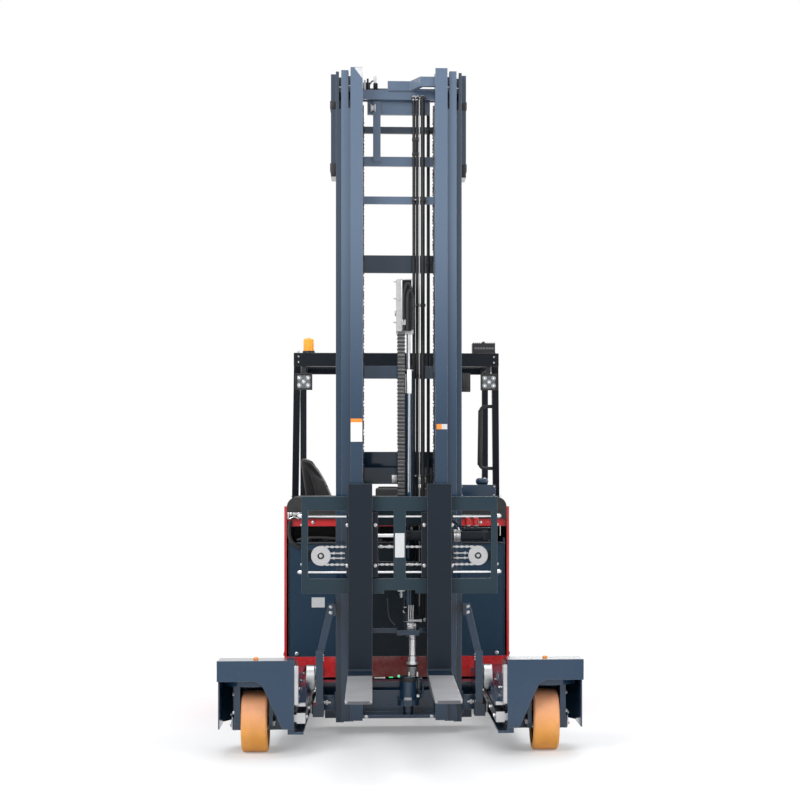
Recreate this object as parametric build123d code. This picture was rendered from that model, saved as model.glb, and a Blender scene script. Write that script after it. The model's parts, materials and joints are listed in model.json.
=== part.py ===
from build123d import *
import math
import os

# Four-way reach truck, in millimetres. Z is up, X runs across the truck and Y from the fork tips
# to the rear. Y values below are taken from the axle of the load wheels, and the whole truck is
# moved along Y at the end so that its origin lies in the middle of its footprint.

# Clearances
seat_gap = 0.3          # between a piece and the seat that holds it
running_gap = 0.05      # radial, shaft in a bush
rail_gap = 8.0          # between nested mast flanges, front to back

# Load wheels and yokes
load_wheel_radius = 150.0
load_wheel_width = 128.0
load_wheel_x = 710.0
load_tyre_thickness = 30.0
load_tyre_round = 13.0
load_axle_radius = 20.0
load_hub_width = 112.0
yoke_side_gap = 6.0
yoke_outer_plate = 28.0
yoke_inner_plate = 18.0
yoke_plate_half_length = 85.0
yoke_plate_bottom_z = 114.0
yoke_crown_radius = 155.0
yoke_crown_z = 335.0
yoke_crown_thickness = 25.0
kingpin_radius = 30.0
kingpin_length = 78.0
yoke_flange_radius = 45.0
yoke_flange_thickness = 12.0

# Legs
well_radius = 163.5
leg_wall = 31.5
leg_outer_wall = 6.0
housing_lip = 5.0
leg_top_z = 465.0
leg_bottom_z = 107.0
leg_front_plate = 18.0
well_end_gap = 5.5
well_roof_z = 365.0
crest_end_y = -50.0
crest_rear_drop = 22.0
housing_rear_y = 95.0
housing_rear_taper = 40.0
housing_wall_rear_y = 187.0
housing_rear_wall = 15.0
housing_rear_bottom_z = 80.0
outer_wall_bottom_z = 134.0
arch_top_x = 676.0
arch_foot_x = 571.0
arch_top_round = 60.0
arch_foot_round = 28.0
beam_width = 116.0
beam_top_z = 280.0
beam_slope_end_y = 300.0
kingpin_cover = 20.0
ledge_width = 59.0
ledge_top_z = 250.0
ledge_thickness = 17.0
ledge_front_y = -100.0
guide_bar_width = 42.0
guide_bar_spacer = 10.0
guide_bar_bottom_z = 154.0
guide_bar_height = 51.0
guide_bar_front_y = -130.0
guide_spacer_length = 60.0
guide_spacer_count = 5
shelf_thickness = 12.0
shelf_front_x = 470.0
shelf_rear_x = 453.0

# Body
body_half_width = 631.0
body_front_y = 1220.0
body_rear_y = 2440.0
body_corner_radius = 120.0
panel_thickness = 14.0
floor_z = 107.0
floor_thickness = 12.0
sill_top_z = 330.0
sill_thickness = 20.0
panel_top_z = 1170.0
battery_depth = 420.0
battery_bottom_z = 328.0
battery_top_z = 968.0
battery_side_gap = 11.0
battery_lug_z = 992.0
battery_lug_width = 9.0
tray_thickness = 12.0
front_cross_bottom_z = 212.0
front_cross_depth = 40.0
rail_bottom_z = 1058.0
rail_top_z = 1100.0
rail_depth = 22.0
rail_setback = 20.0
bonnet_top_z = 1222.0
bonnet_rear_y = 1690.0
bonnet_round = 55.0
bonnet_wall = 12.0
bulkhead_y = 1655.0
bulkhead_thickness = 14.0
entry_front_y = 1700.0
entry_rear_y = 2150.0
footwell_z = 412.0
footwell_plate = 12.0
seat_box_x = 0.0
seat_box_top_z = 800.0
seat_box_plate = 12.0
console_front_y = 2165.0
console_depth = 245.0
console_width = 500.0
console_top_z = 960.0
rear_lid_y = 2370.0

# Drive
drive_x = -250.0
drive_y = 2020.0
drive_radius = 171.5
drive_width = 140.0
drive_tyre_thickness = 40.0
drive_axle_radius = 25.0
drive_hub_width = 120.0
drive_hole_radius = 215.0
turntable_z = 420.0
turntable_thickness = 40.0
turntable_radius = 165.0
gearbox_gap = 12.0
gearbox_width = 62.0
gearbox_half_length = 80.0
motor_radius = 105.0
motor_height = 300.0
drive_deck_z = 470.0
drive_deck_plate = 20.0

# Overhead guard
guard_side_inset = 43.0
guard_front_y = 1440.0
guard_rear_y = 2425.0
guard_bottom_z = 1967.0
guard_top_z = 2044.0
guard_beam = 45.0
guard_bar_thickness = 12.0
guard_bar_depth = 45.0
guard_bar_count = 7
pillar_width = 38.0
pillar_foot_inset = 60.0
pillar_top_inset = 81.0
pillar_step = 20.0
front_pillar_depth = 60.0
front_pillar_foot_depth = 36.0
front_pillar_foot_y = 1672.0
rear_pillar_depth = 40.0
rear_pillar_y = 2380.0

# Arm console, levers, display box and pedals
arm_console_x = (-120.0, 230.0)
arm_console_height = 45.0
arm_console_rear = 60.0
lever_places = [60.0, 115.0, 170.0]
lever_setback = 10.0
lever_length = 73.0
lever_radius = 6.0
lever_knob_radius = 15.0
terminal_box_inset = 71.0
terminal_box_width = 203.0
terminal_box_setback = 60.0
terminal_box_depth = 90.0
terminal_box_height = 68.0
pedal_y = (1885.0, 2035.0)
pedal_rise = 34.0
pedal_lip = 12.0

# Pedals, each its place across the footwell and its width
pedal_table = [(165.0, 70.0), (295.0, 70.0), (425.0, 90.0)]

# Seat and controls
seat_front_x = -60.0
seat_rear_x = -470.0
seat_y = 2030.0
seat_width = 470.0
cushion_bottom_z = 850.0
cushion_thickness = 120.0
back_top_z = 1458.0
back_thickness = 95.0
back_lean = 100.0
handwheel_x = 150.0
handwheel_y = 2275.0
handwheel_radius = 105.0
handwheel_rim = 11.0
handwheel_shaft = 10.0
handwheel_rise = 70.0

# Lamps, beacon, handle
beacon_inset = 85.0
beacon_radius = 31.0
beacon_height = 84.0
work_lamp_size = 91.0
work_lamp_depth = 50.0
work_lamp_inset = 59.0
work_lamp_drop = 45.0
work_lamp_stalk = 8.0
lamp_corner = 18.0
lens_recess = 4.0
lens_border = 9.0
roof_lamp_inset = 85.0
roof_lamp_size = (130.0, 90.0, 58.0)
handle_drop = 226.0
handle_length = 360.0
handle_reach = 66.0
handle_radius = 10.0
handle_bend = 30.0

# Mast
mast_front_y = 480.0
rail_depth_y = 160.0
rail_flange = 63.0
rail_flange_thickness = 20.0
rail_web = 14.0
rail_side_gap = 10.0
inner_gap_x = 189.0
mast_top_z = 3470.0
middle_top_drop = 10.0
outer_top_drop = 12.0
inner_bottom_z = 76.0
middle_bottom_z = 68.0
outer_bottom_z = 60.0
outer_flange = 42.5
outer_side_gap = 14.5
flange_notch = 197.0
flange_notch_width = 26.0
cross_gap = 10.0
inner_cross_depth = 14.0
bent_bar_depth = 28.0
bent_bar_x = (110.0, 60.0, -58.0)
middle_cross_depth = 22.0
rod_head_drop = 140.0
rod_head_thickness = 40.0
outer_cross_depth = 20.0
cheek_thickness = 28.0
cheek_drop = 5.0
cheek_length = 540.0
base_plate_y = 618.0
base_plate_top_z = 215.0
base_shelf_z = 88.0
base_shelf_thickness = 16.0
post_x = -135.0
post_width = 40.0
post_thickness = 12.0
rear_bar_y = 780.0

# Cross-members, each a drop of its upper edge below the mast's top and a height
outer_crosses = [(252.0, 37.0), (942.0, 95.0), (2080.0, 89.0)]
middle_crosses = [(70.0, 70.0), (432.0, 51.0), (1541.0, 68.0)]
inner_crosses = [(649.0, 41.0)]
middle_apron_half = 165.0
middle_apron_height = 70.0
bent_bar_drop = 42.0
bent_bar_height = 50.0
middle_foot_cross_z = (90.0, 200.0)

# Reach carriage
roller_radius = 65.0
roller_width = 44.0
roller_x = 453.0
roller_front_y = 370.0
roller_rear_y = 740.0
roller_lift = 0.3
rear_roller_radius = 42.0
roller_axle_radius = 16.0
stay_plate = 24.0
frame_plate_x = 390.0
frame_plate_thickness = 37.0
frame_plate_bottom_z = 190.0
frame_plate_top_z = 450.0
stay_top_z = 690.0
stay_width = 36.0
stay_front_y = 390.0
shoe_outer_x = 446.0
shoe_front_y = 420.0
shoe_length = 100.0
shoe_bottom_z = 105.0
shoe_height = 62.0
base_top_z = 250.0
reach_rod_x = 150.0
reach_rod_z = 165.0
reach_rod_radius = 18.0
reach_barrel_radius = 35.0
reach_barrel_front_y = 1262.0
reach_barrel_rear_y = 2170.0
reach_piston_y = 1700.0
reach_barrel_wall = 7.0
reach_gland = 50.0
reach_end_wall = 30.0
reach_foot_half = 45.0

# Lift cylinders
lift_x = 290.0
lift_y = 740.0
lift_barrel_radius = 34.0
lift_bore_radius = 28.0
lift_rod_radius = 22.0
lift_barrel_drop = 270.0
gland_length = 60.0
free_x = 50.0
free_y = 560.0
free_barrel_radius = 24.0
free_bore_radius = 18.0
free_rod_radius = 10.0
free_barrel_top_z = 1904.0
free_rod_foot_z = 745.0
free_shelf_z = 543.0
free_shelf_thickness = 26.0
free_shelf_x = (-10.0, 105.0)
free_shelf_y = 500.0

# Foot of the free-lift cylinder, as radius, lower and upper height
foot_x = 49.0
foot_steps = [(26.0, 104.0, 146.0), (57.0, 146.0, 177.0), (45.0, 177.0, 297.0)]

# Piston above that foot, off its middle, in the same three columns
piston_x = 71.0
piston_steps = [(26.0, 297.0, 345.0), (21.0, 345.0, 360.0), (31.0, 360.0, 371.0), (22.0, 371.0, 397.0),
                (17.0, 397.0, free_shelf_z - free_shelf_thickness)]
crosshead_bottom_z = 2090.0
crosshead_top_z = 2372.0
crosshead_half = 25.0
crosshead_foot = 50.0
pulley_pin_radius = 10.0

# Chains and hoses
carriage_chain_x = 12.0
carriage_chain_width = 36.0
carriage_chain_pitch = 38.1
mast_chain_pitch = 76.2
positioner_chain_pitch = 25.4
chain_waist = 3.0
pulley_side_gap = 2.5
pulley_plate = 6.0
bracket_gap = 4.0
chain_thickness = 14.0
pulley_radius = 45.0
pulley_z = 2200.0
carriage_chain_end_z = 750.0
fixed_chain_end_z = 1500.0
mast_chain_x = 190.0
mast_chain_width = 14.0
mast_pulley_drop = 205.0
mast_chain_end_z = 300.0
mast_chain_rear_length = 715.0
hose_top_drop = 120.0
inner_hose_bottom_z = 600.0
outer_hose_bottom_z = 300.0

# Hoses, each its place across the truck and its radius
inner_hose_table = [(80.0, 8.0), (97.5, 8.0), (127.0, 11.0)]
outer_hose_table = [(161.0, 9.0)]

# Fork carriage
carriage_half_width = 496.0
carriage_front_y = 252.0
carriage_plate = 35.0
carriage_top_z = 1245.0
carriage_bottom_z = 753.0
top_bar_height = 71.0
bottom_bar_height = 76.0
side_post_width = 32.0
centre_post_half = 31.0
guide_rod_radius = 6.5
upper_rod_z = 1144.0
lower_rod_z = 860.0
guide_rod_y = 269.0
disc_x = 400.0
disc_z = 943.0
disc_radius = 50.0
chain_pitch_radius = 45.0
disc_standoff = 22.0
disc_thickness = 6.0
disc_cap = 3.0
disc_clearance = 5.0
positioner_y = 330.0
positioner_z = 1043.0
positioner_radius = 28.0
positioner_bore = 21.0
positioner_rod_radius = 10.0
positioner_piston_x = 290.0
positioner_piston_length = 20.0
positioner_front_x = 24.0
positioner_end_x = 455.0
lift_plate_x = 150.0
lift_plate_thickness = 20.0
lift_plate_bottom_z = 785.0
lift_plate_top_z = 1210.0
lift_plate_rear = 45.0
lift_cross_y = 440.0
lift_cross_thickness = 20.0
lift_cross_height = 120.0
mast_roller_width = 40.0
stage_roller_drop = 88.0
stage_roller_rise = 100.0
roller_stub_radius = 20.0
roller_side_gap = 1.5
mast_roller_z = [860.0, 1140.0]

# Forks
fork_x = 200.0
fork_width = 122.0
fork_length = 1150.0
fork_thickness = 45.0
fork_tip_thickness = 14.0
fork_tip_round = 30.0
fork_taper_start = 450.0
fork_heel_round = 14.0
blade_top_z = 365.0
shank_top_z = 1310.0
shank_front_y = 200.0
hook_thickness = 28.0
hook_catch = 24.0
hanger_inner_x = 110.0
hanger_outer_x = 270.0
hanger_gap = 8.0
hanger_thickness = 28.0


# Shapes

def block(x0, x1, y0, y1, z0, z1):
    size = Box(x1 - x0, y1 - y0, z1 - z0)
    return Pos((x0 + x1) / 2, (y0 + y1) / 2, (z0 + z1) / 2) * size


def rod_z(x, y, z0, z1, radius):
    return Pos(x, y, (z0 + z1) / 2) * Cylinder(radius, z1 - z0)


def rod_x(x0, x1, y, z, radius):
    return Pos((x0 + x1) / 2, y, z) * Rot(0, 90, 0) * Cylinder(radius, x1 - x0)


def rod_y(x, y0, y1, z, radius):
    return Pos(x, (y0 + y1) / 2, z) * Rot(90, 0, 0) * Cylinder(radius, y1 - y0)


def plate_x(outline, x0, x1):
    """A flat plate with an outline of (y, z) points, from x0 to x1."""
    face = make_face(Polyline(*[(x0, y, z) for y, z in outline], close=True))
    return extrude(face, amount=x1 - x0, dir=(1, 0, 0))


def plate_y(outline, y0, y1):
    """A flat plate with an outline of (x, z) points, from y0 to y1."""
    face = make_face(Polyline(*[(x, y0, z) for x, z in outline], close=True))
    return extrude(face, amount=y1 - y0, dir=(0, 1, 0))


def plate_z(outline, z0, z1):
    """A flat plate with an outline of (x, y) points, from z0 to z1."""
    face = make_face(Polyline(*[(x, y, z0) for x, y in outline], close=True))
    return extrude(face, amount=z1 - z0, dir=(0, 0, 1))


def mirrored(shape):
    return mirror(shape, about=Plane.YZ)


def both_sides(shape):
    return shape + mirrored(shape)


# Places worked out from the sizes above

leg_inner_x = load_wheel_x - well_radius - leg_wall
well_inner_x = load_wheel_x - well_radius
well_outer_x = load_wheel_x + well_radius
leg_outer_x = well_outer_x + leg_outer_wall
housing_edge_x = leg_outer_x + housing_lip
well_end_y = well_radius + well_end_gap
leg_front_y = -well_end_y - leg_front_plate
guard_half_width = body_half_width - guard_side_inset
pillar_top_x = body_half_width - pillar_top_inset
pillar_foot_x = body_half_width - pillar_foot_inset
front_pillar_lean = front_pillar_foot_y - guard_front_y - pillar_step

shank_back_y = shank_front_y + fork_thickness
carriage_back_y = carriage_front_y + carriage_plate
fork_tip_y = shank_front_y + fork_thickness - fork_length
blade_bottom_z = blade_top_z - fork_thickness

inner_front_y = mast_front_y
inner_back_y = inner_front_y + rail_depth_y
middle_front_y = inner_front_y + rail_flange_thickness + rail_gap
middle_back_y = middle_front_y + rail_depth_y
outer_front_y = middle_front_y + rail_flange_thickness + rail_gap
outer_back_y = outer_front_y + rail_depth_y
inner_outer_x = inner_gap_x + rail_flange
inner_web_x = inner_gap_x + rail_flange / 2 - rail_web / 2
mast_roller_radius = rail_depth_y / 2 - rail_flange_thickness - seat_gap
middle_web_x = inner_outer_x + rail_side_gap
middle_inner_x = middle_web_x + rail_web / 2 - rail_flange / 2
middle_outer_x = middle_inner_x + rail_flange
outer_web_x = middle_outer_x + outer_side_gap
outer_edge_x = outer_web_x + rail_web
outer_inner_x = outer_edge_x - outer_flange
middle_top_z = mast_top_z - middle_top_drop
outer_top_z = mast_top_z - outer_top_drop
cheek_top_z = mast_top_z - cheek_drop
rod_head_z = mast_top_z - rod_head_drop
lift_barrel_top_z = mast_top_z - lift_barrel_drop
hose_top_z = mast_top_z - hose_top_drop
mast_pulley_z = mast_top_z - mast_pulley_drop

inner_cross_front_y = inner_back_y - inner_cross_depth
middle_cross_front_y = middle_back_y
middle_cross_back_y = middle_cross_front_y + middle_cross_depth
mast_chain_y = (inner_back_y + middle_cross_front_y) / 2
mast_pulley_y = mast_chain_y + pulley_radius
rear_bar_back_y = rear_bar_y + outer_cross_depth
reach_roller_table = [(roller_front_y, roller_radius), (roller_rear_y, rear_roller_radius)]

front_end_y = fork_tip_y
middle_of_length = (front_end_y + body_rear_y) / 2


# Legs

def leg():
    """Right-hand leg: wheel housing with its arch, box beam, running ledge and shelf."""
    crest_rear_z = leg_top_z - crest_rear_drop
    slope = (crest_rear_z - beam_top_z) / (beam_slope_end_y - housing_rear_y)
    wall_top_z = crest_rear_z - slope * (housing_wall_rear_y - housing_rear_y)
    side = plate_x(
        [(leg_front_y, outer_wall_bottom_z), (leg_front_y, leg_top_z), (crest_end_y, leg_top_z),
         (housing_rear_y, crest_rear_z), (housing_wall_rear_y, wall_top_z),
         (housing_wall_rear_y, outer_wall_bottom_z)], leg_inner_x, housing_edge_x)
    rear_x = leg_outer_x - housing_rear_taper
    plan = plate_z(
        [(leg_inner_x, leg_front_y), (housing_edge_x, leg_front_y), (housing_edge_x, -well_end_y),
         (leg_outer_x, -well_end_y), (leg_outer_x, housing_rear_y), (rear_x, housing_wall_rear_y),
         (leg_inner_x, housing_wall_rear_y)], outer_wall_bottom_z, leg_top_z)
    well_rear_y = housing_wall_rear_y - housing_rear_wall
    well = plate_z(
        [(well_inner_x, -well_end_y), (well_outer_x, -well_end_y), (well_outer_x, housing_rear_y),
         (rear_x - leg_outer_wall, well_rear_y), (well_inner_x, well_rear_y)],
        outer_wall_bottom_z - 1, well_roof_z)
    arch = plate_y(
        [(arch_foot_x, outer_wall_bottom_z), (arch_top_x, well_roof_z),
         (housing_edge_x + 1, well_roof_z), (housing_edge_x + 1, outer_wall_bottom_z)],
        leg_front_y - 1, -well_end_y + 1)
    arch_top = arch.edges().filter_by(Axis.Y).sort_by_distance(
        (arch_top_x, leg_front_y, well_roof_z))
    arch = fillet(arch_top[0], arch_top_round)
    housing = (side & plan) - well - arch
    foot = housing.edges().filter_by(Axis.Y).sort_by_distance(
        (arch_foot_x, leg_front_y, outer_wall_bottom_z))
    housing = fillet(foot[0], arch_foot_round)
    housing += block(leg_inner_x, well_inner_x, -well_end_y, housing_wall_rear_y,
                     leg_bottom_z, outer_wall_bottom_z)
    housing += block(well_inner_x, rear_x, well_rear_y, housing_wall_rear_y,
                     housing_rear_bottom_z, outer_wall_bottom_z)
    housing -= rod_z(load_wheel_x, 0, well_roof_z - 1, leg_top_z - kingpin_cover,
                     kingpin_radius + running_gap)
    beam = plate_x(
        [(housing_wall_rear_y, leg_bottom_z), (housing_wall_rear_y, wall_top_z),
         (beam_slope_end_y, beam_top_z), (body_front_y, beam_top_z),
         (body_front_y, leg_bottom_z)], leg_inner_x, leg_inner_x + beam_width)
    ledge = block(leg_inner_x - ledge_width, leg_inner_x, ledge_front_y, body_front_y,
                  ledge_top_z - ledge_thickness, ledge_top_z)
    shelf = plate_z(
        [(shelf_front_x, -well_end_y), (leg_inner_x, -well_end_y), (leg_inner_x, body_front_y),
         (shelf_rear_x, body_front_y)], leg_bottom_z, leg_bottom_z + shelf_thickness)
    return housing + beam + ledge + shelf


def guide_bar():
    """Bright bar below the ledge, on spacers, that keeps the reach carriage straight."""
    outer_x = leg_inner_x - guide_bar_spacer
    top = guide_bar_bottom_z + guide_bar_height
    bar = block(outer_x - guide_bar_width, outer_x, guide_bar_front_y, body_front_y,
                guide_bar_bottom_z, top)
    pitch = (body_front_y - guide_bar_front_y - guide_spacer_length) / (guide_spacer_count - 1)
    for place in range(guide_spacer_count):
        y = guide_bar_front_y + place * pitch
        bar += block(outer_x, leg_inner_x, y, y + guide_spacer_length,
                     guide_bar_bottom_z + 8, top - 8)
    return bar


# Load wheels

def load_yoke():
    """Right-hand steered yoke: crown, kingpin, two side plates and the axle."""
    half = load_wheel_width / 2 + yoke_side_gap
    x = load_wheel_x
    crown_top = yoke_crown_z + yoke_crown_thickness
    yoke = rod_z(x, 0, yoke_crown_z, crown_top, yoke_crown_radius)
    yoke += rod_z(x, 0, crown_top, crown_top + kingpin_length, kingpin_radius)
    low = yoke_plate_bottom_z
    corner = 30.0
    side = [(-yoke_plate_half_length, yoke_crown_z), (yoke_plate_half_length, yoke_crown_z),
            (yoke_plate_half_length, low + corner), (yoke_plate_half_length - corner, low),
            (corner - yoke_plate_half_length, low), (-yoke_plate_half_length, low + corner)]
    yoke += plate_x(side, x + half, x + half + yoke_outer_plate)
    yoke += plate_x(side, x - half - yoke_inner_plate, x - half)
    yoke += rod_x(x - half, x + half, 0, load_wheel_radius, load_axle_radius)
    yoke += rod_x(x + half + yoke_outer_plate, x + half + yoke_outer_plate + yoke_flange_thickness,
                  0, load_wheel_radius, yoke_flange_radius)
    return yoke


def tyre_and_hub(x, y, radius, width, thickness, hub_width, axle_radius, round_size):
    """A solid tyre on its hub, both about an axle along X."""
    inner = radius - thickness
    tyre = rod_x(x - width / 2, x + width / 2, y, radius, radius)
    tyre = fillet(tyre.edges().filter_by(GeomType.CIRCLE), round_size)
    tyre -= rod_x(x - width / 2 - 1, x + width / 2 + 1, y, radius, inner)
    hub = rod_x(x - hub_width / 2, x + hub_width / 2, y, radius, inner)
    recess = hub_width / 5
    dish = rod_x(x + hub_width / 2 - recess, x + hub_width / 2 + 1, y, radius, inner - 18)
    dish -= rod_x(x + hub_width / 2 - recess - 1, x + hub_width / 2 + 2, y, radius,
                  axle_radius + 24)
    back_dish = Pos(-hub_width + recess, 0, 0) * dish
    hub -= dish
    hub -= back_dish
    hub -= rod_x(x - width, x + width, y, radius, axle_radius + running_gap)
    return tyre, hub


# Drive

def drive_unit():
    """Turntable, offset gearbox leg and axle of the drive wheel."""
    unit = rod_z(drive_x, drive_y, turntable_z, turntable_z + turntable_thickness,
                 turntable_radius)
    side = drive_width / 2 + gearbox_gap
    low = drive_radius - gearbox_half_length
    unit += block(drive_x + side, drive_x + side + gearbox_width, drive_y - gearbox_half_length,
                  drive_y + gearbox_half_length, drive_radius, turntable_z)
    unit += rod_x(drive_x + side, drive_x + side + gearbox_width, drive_y, drive_radius,
                  drive_radius - low)
    unit += rod_x(drive_x - drive_hub_width / 2, drive_x + side, drive_y, drive_radius,
                  drive_axle_radius)
    return unit


def drive_motor():
    foot = turntable_z + turntable_thickness
    motor = rod_z(drive_x, drive_y, foot, foot + motor_height, motor_radius)
    return chamfer(motor.edges().group_by(Axis.Z)[-1], 15)


# Body

def body_plan(inset, front_y):
    """Outline of the body seen from above, with its two rear corners rounded."""
    half = body_half_width - inset
    rear = body_rear_y - inset
    radius = body_corner_radius - inset
    with_corners = Rectangle(2 * half, rear - front_y)
    plan = Pos(0, (rear + front_y) / 2) * with_corners
    corners = plan.vertices().group_by(Axis.Y)[-1]
    return fillet(corners, radius)


def body_ring(front_y, rear_y, z0, z1, thickness):
    """A slice of the body's wall between two heights."""
    far = body_front_y - 200
    outer = extrude(Pos(0, 0, z0) * body_plan(0, far), amount=z1 - z0)
    inner = extrude(Pos(0, 0, z0 - 1) * body_plan(thickness, far - 50), amount=z1 - z0 + 2)
    keep = block(-body_half_width - 1, body_half_width + 1, front_y, rear_y, z0 - 2, z1 + 2)
    return (outer - inner) & keep


def chassis_frame():
    """Floor, sills, front cross-member, battery tray, bulkhead, drive deck and footwell."""
    far = body_front_y
    inside = body_half_width - sill_thickness
    floor = extrude(Pos(0, 0, floor_z) * body_plan(0, far), amount=floor_thickness)
    wheel_hole = rod_z(drive_x, drive_y, floor_z - 1, floor_z + floor_thickness + 1,
                       drive_hole_radius)
    frame = floor - wheel_hole
    frame += body_ring(far, body_rear_y + 1, floor_z, sill_top_z, sill_thickness)
    frame += block(-inside, inside, far, far + front_cross_depth, front_cross_bottom_z,
                   battery_bottom_z - tray_thickness)
    frame += block(-inside, inside, far, bulkhead_y + bulkhead_thickness,
                   battery_bottom_z - tray_thickness, battery_bottom_z)
    bulkhead = block(-inside, inside, bulkhead_y, bulkhead_y + bulkhead_thickness,
                     floor_z + floor_thickness, rail_top_z)
    frame += bulkhead - rod_y(reach_rod_x, bulkhead_y - 1, bulkhead_y + bulkhead_thickness + 1,
                              reach_rod_z, reach_barrel_radius + 5)
    back = body_rear_y - sill_thickness
    frame += block(seat_box_x, inside, bulkhead_y + bulkhead_thickness,
                   back - body_corner_radius, footwell_z - footwell_plate, footwell_z)
    frame += block(seat_box_x, seat_box_x + console_width, console_front_y, back,
                   footwell_z - footwell_plate, footwell_z)
    frame += block(seat_box_x - seat_box_plate, seat_box_x, bulkhead_y + bulkhead_thickness,
                   back - body_corner_radius, floor_z + floor_thickness, seat_box_top_z)
    deck = block(-inside, seat_box_x - seat_box_plate, bulkhead_y + bulkhead_thickness,
                 back - body_corner_radius, drive_deck_z, drive_deck_z + drive_deck_plate)
    deck += rod_z(drive_x, drive_y, turntable_z + turntable_thickness + seat_gap, drive_deck_z,
                  turntable_radius)
    deck -= rod_z(drive_x, drive_y, turntable_z, drive_deck_z + drive_deck_plate + 1,
                  motor_radius + 15)
    frame += deck
    return frame


def battery():
    half = body_half_width - panel_thickness - battery_side_gap
    rear = body_front_y + battery_depth
    box = block(-half, half, body_front_y, rear, battery_bottom_z, battery_top_z)
    lug = block(half - battery_lug_width, half, body_front_y, rear, battery_top_z, battery_lug_z)
    return box + both_sides(lug)


def battery_rail():
    half = body_half_width - panel_thickness
    front = body_front_y + rail_setback
    return block(-half, half, front, front + rail_depth, rail_bottom_z, rail_top_z)


def bonnet_form(gap):
    """Outside of the bonnet with its rounded shoulders, grown by a gap."""
    half = body_half_width - panel_thickness - seat_gap + gap
    form = block(-half, half, body_front_y - gap, bonnet_rear_y + gap, rail_top_z, bonnet_top_z + gap)
    return fillet(form.edges().filter_by(Axis.Y).group_by(Axis.Z)[-1], bonnet_round)


def bonnet():
    """Moulded cover over the battery with rounded shoulders."""
    half = body_half_width - panel_thickness - seat_gap
    inside = block(bonnet_wall - half, half - bonnet_wall, body_front_y + bonnet_wall,
                   bonnet_rear_y - bonnet_wall, rail_top_z - 1, bonnet_top_z - bonnet_wall)
    inside_top = inside.edges().filter_by(Axis.Y).group_by(Axis.Z)[-1]
    return bonnet_form(0) - fillet(inside_top, bonnet_round - bonnet_wall)


def side_panel_left():
    return body_ring(body_front_y, entry_rear_y, sill_top_z, panel_top_z,
                     panel_thickness) & left_half()


def side_panel_right():
    return body_ring(body_front_y, entry_front_y, sill_top_z, panel_top_z,
                     panel_thickness) & right_half()


def left_half():
    return block(-body_half_width - 1, 0, body_front_y - 1, body_rear_y + 1, floor_z,
                 panel_top_z + 1)


def right_half():
    return block(0, body_half_width + 1, body_front_y - 1, body_rear_y + 1, floor_z,
                 panel_top_z + 1)


def rear_hood():
    """Rear wall with its rounded corners, and the flat top behind the seat."""
    wall = body_ring(entry_rear_y, body_rear_y + 1, sill_top_z, panel_top_z, panel_thickness)
    lid = extrude(Pos(0, 0, panel_top_z - panel_thickness) * body_plan(0, entry_rear_y),
                  amount=panel_thickness)
    open_front = block(-body_half_width, body_half_width, entry_rear_y - 1, rear_lid_y,
                       panel_top_z - panel_thickness - 1, panel_top_z + 1)
    corner_keep = body_ring(entry_rear_y, body_rear_y + 1, panel_top_z - panel_thickness,
                            panel_top_z, panel_thickness)
    return wall + (lid - open_front) + corner_keep


def seat_box():
    """Pressed steel box under the seat, over the drive motor."""
    inside = body_half_width - panel_thickness
    front = bulkhead_y + bulkhead_thickness
    rear = body_rear_y - panel_thickness - body_corner_radius
    top = block(-inside, seat_box_x, front, rear, seat_box_top_z, seat_box_top_z + seat_box_plate)
    pan = block(seat_rear_x + 40, seat_front_x - 40, seat_y - seat_width / 2 + 50,
                seat_y + seat_width / 2 - 50, seat_box_top_z + seat_box_plate,
                cushion_bottom_z - seat_gap)
    return top + pan


def rear_console():
    """Box behind the footwell that carries the steering handwheel."""
    rear = console_front_y + console_depth
    console = block(seat_box_x, seat_box_x + console_width, console_front_y, rear,
                    footwell_z, console_top_z)
    console = fillet(console.edges().group_by(Axis.Z)[-1], 25)
    post_top = console_top_z + handwheel_rise
    post = rod_z(handwheel_x, handwheel_y, console_top_z, post_top, 28)
    bore = rod_z(handwheel_x, handwheel_y, console_top_z + 30, post_top + 1,
                 handwheel_shaft + running_gap)
    return console + post - bore


def handwheel():
    """Small steering wheel with three spokes and a spinner knob."""
    z = console_top_z + handwheel_rise + 25
    rim = Pos(handwheel_x, handwheel_y, z) * Torus(handwheel_radius, handwheel_rim)
    hub = rod_z(handwheel_x, handwheel_y, z - 24, z + 8, 26)
    shaft = rod_z(handwheel_x, handwheel_y, console_top_z + 35, z - 24, handwheel_shaft)
    wheel = rim + hub + shaft
    for spoke in range(3):
        arm = Pos(handwheel_radius / 2, 0, 0) * Box(handwheel_radius, 22, 8)
        wheel += Pos(handwheel_x, handwheel_y, z) * Rot(0, 0, 90 + 120 * spoke) * arm
    knob = rod_z(handwheel_x + handwheel_radius, handwheel_y, z, z + 48, 15)
    return wheel + knob


def seat_cushion():
    """Plain closed form of the seat's cushion."""
    top = cushion_bottom_z + cushion_thickness
    pad = block(seat_rear_x, seat_front_x, seat_y - seat_width / 2, seat_y + seat_width / 2,
                cushion_bottom_z, top)
    return fillet(pad.edges().filter_by(Axis.Z), 40)


def seat_back():
    """Plain closed form of the backrest, leaning back from the cushion."""
    low = cushion_bottom_z + cushion_thickness + seat_gap
    foot_x = seat_rear_x + 15
    outline = [(foot_x, low), (foot_x + back_thickness, low),
               (foot_x + back_thickness - back_lean, back_top_z - 30),
               (foot_x + back_thickness - back_lean - 25, back_top_z),
               (foot_x - back_lean + 15, back_top_z), (foot_x - back_lean, back_top_z - 30)]
    return plate_y(outline, seat_y - seat_width / 2 + 15, seat_y + seat_width / 2 - 15)


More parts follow.
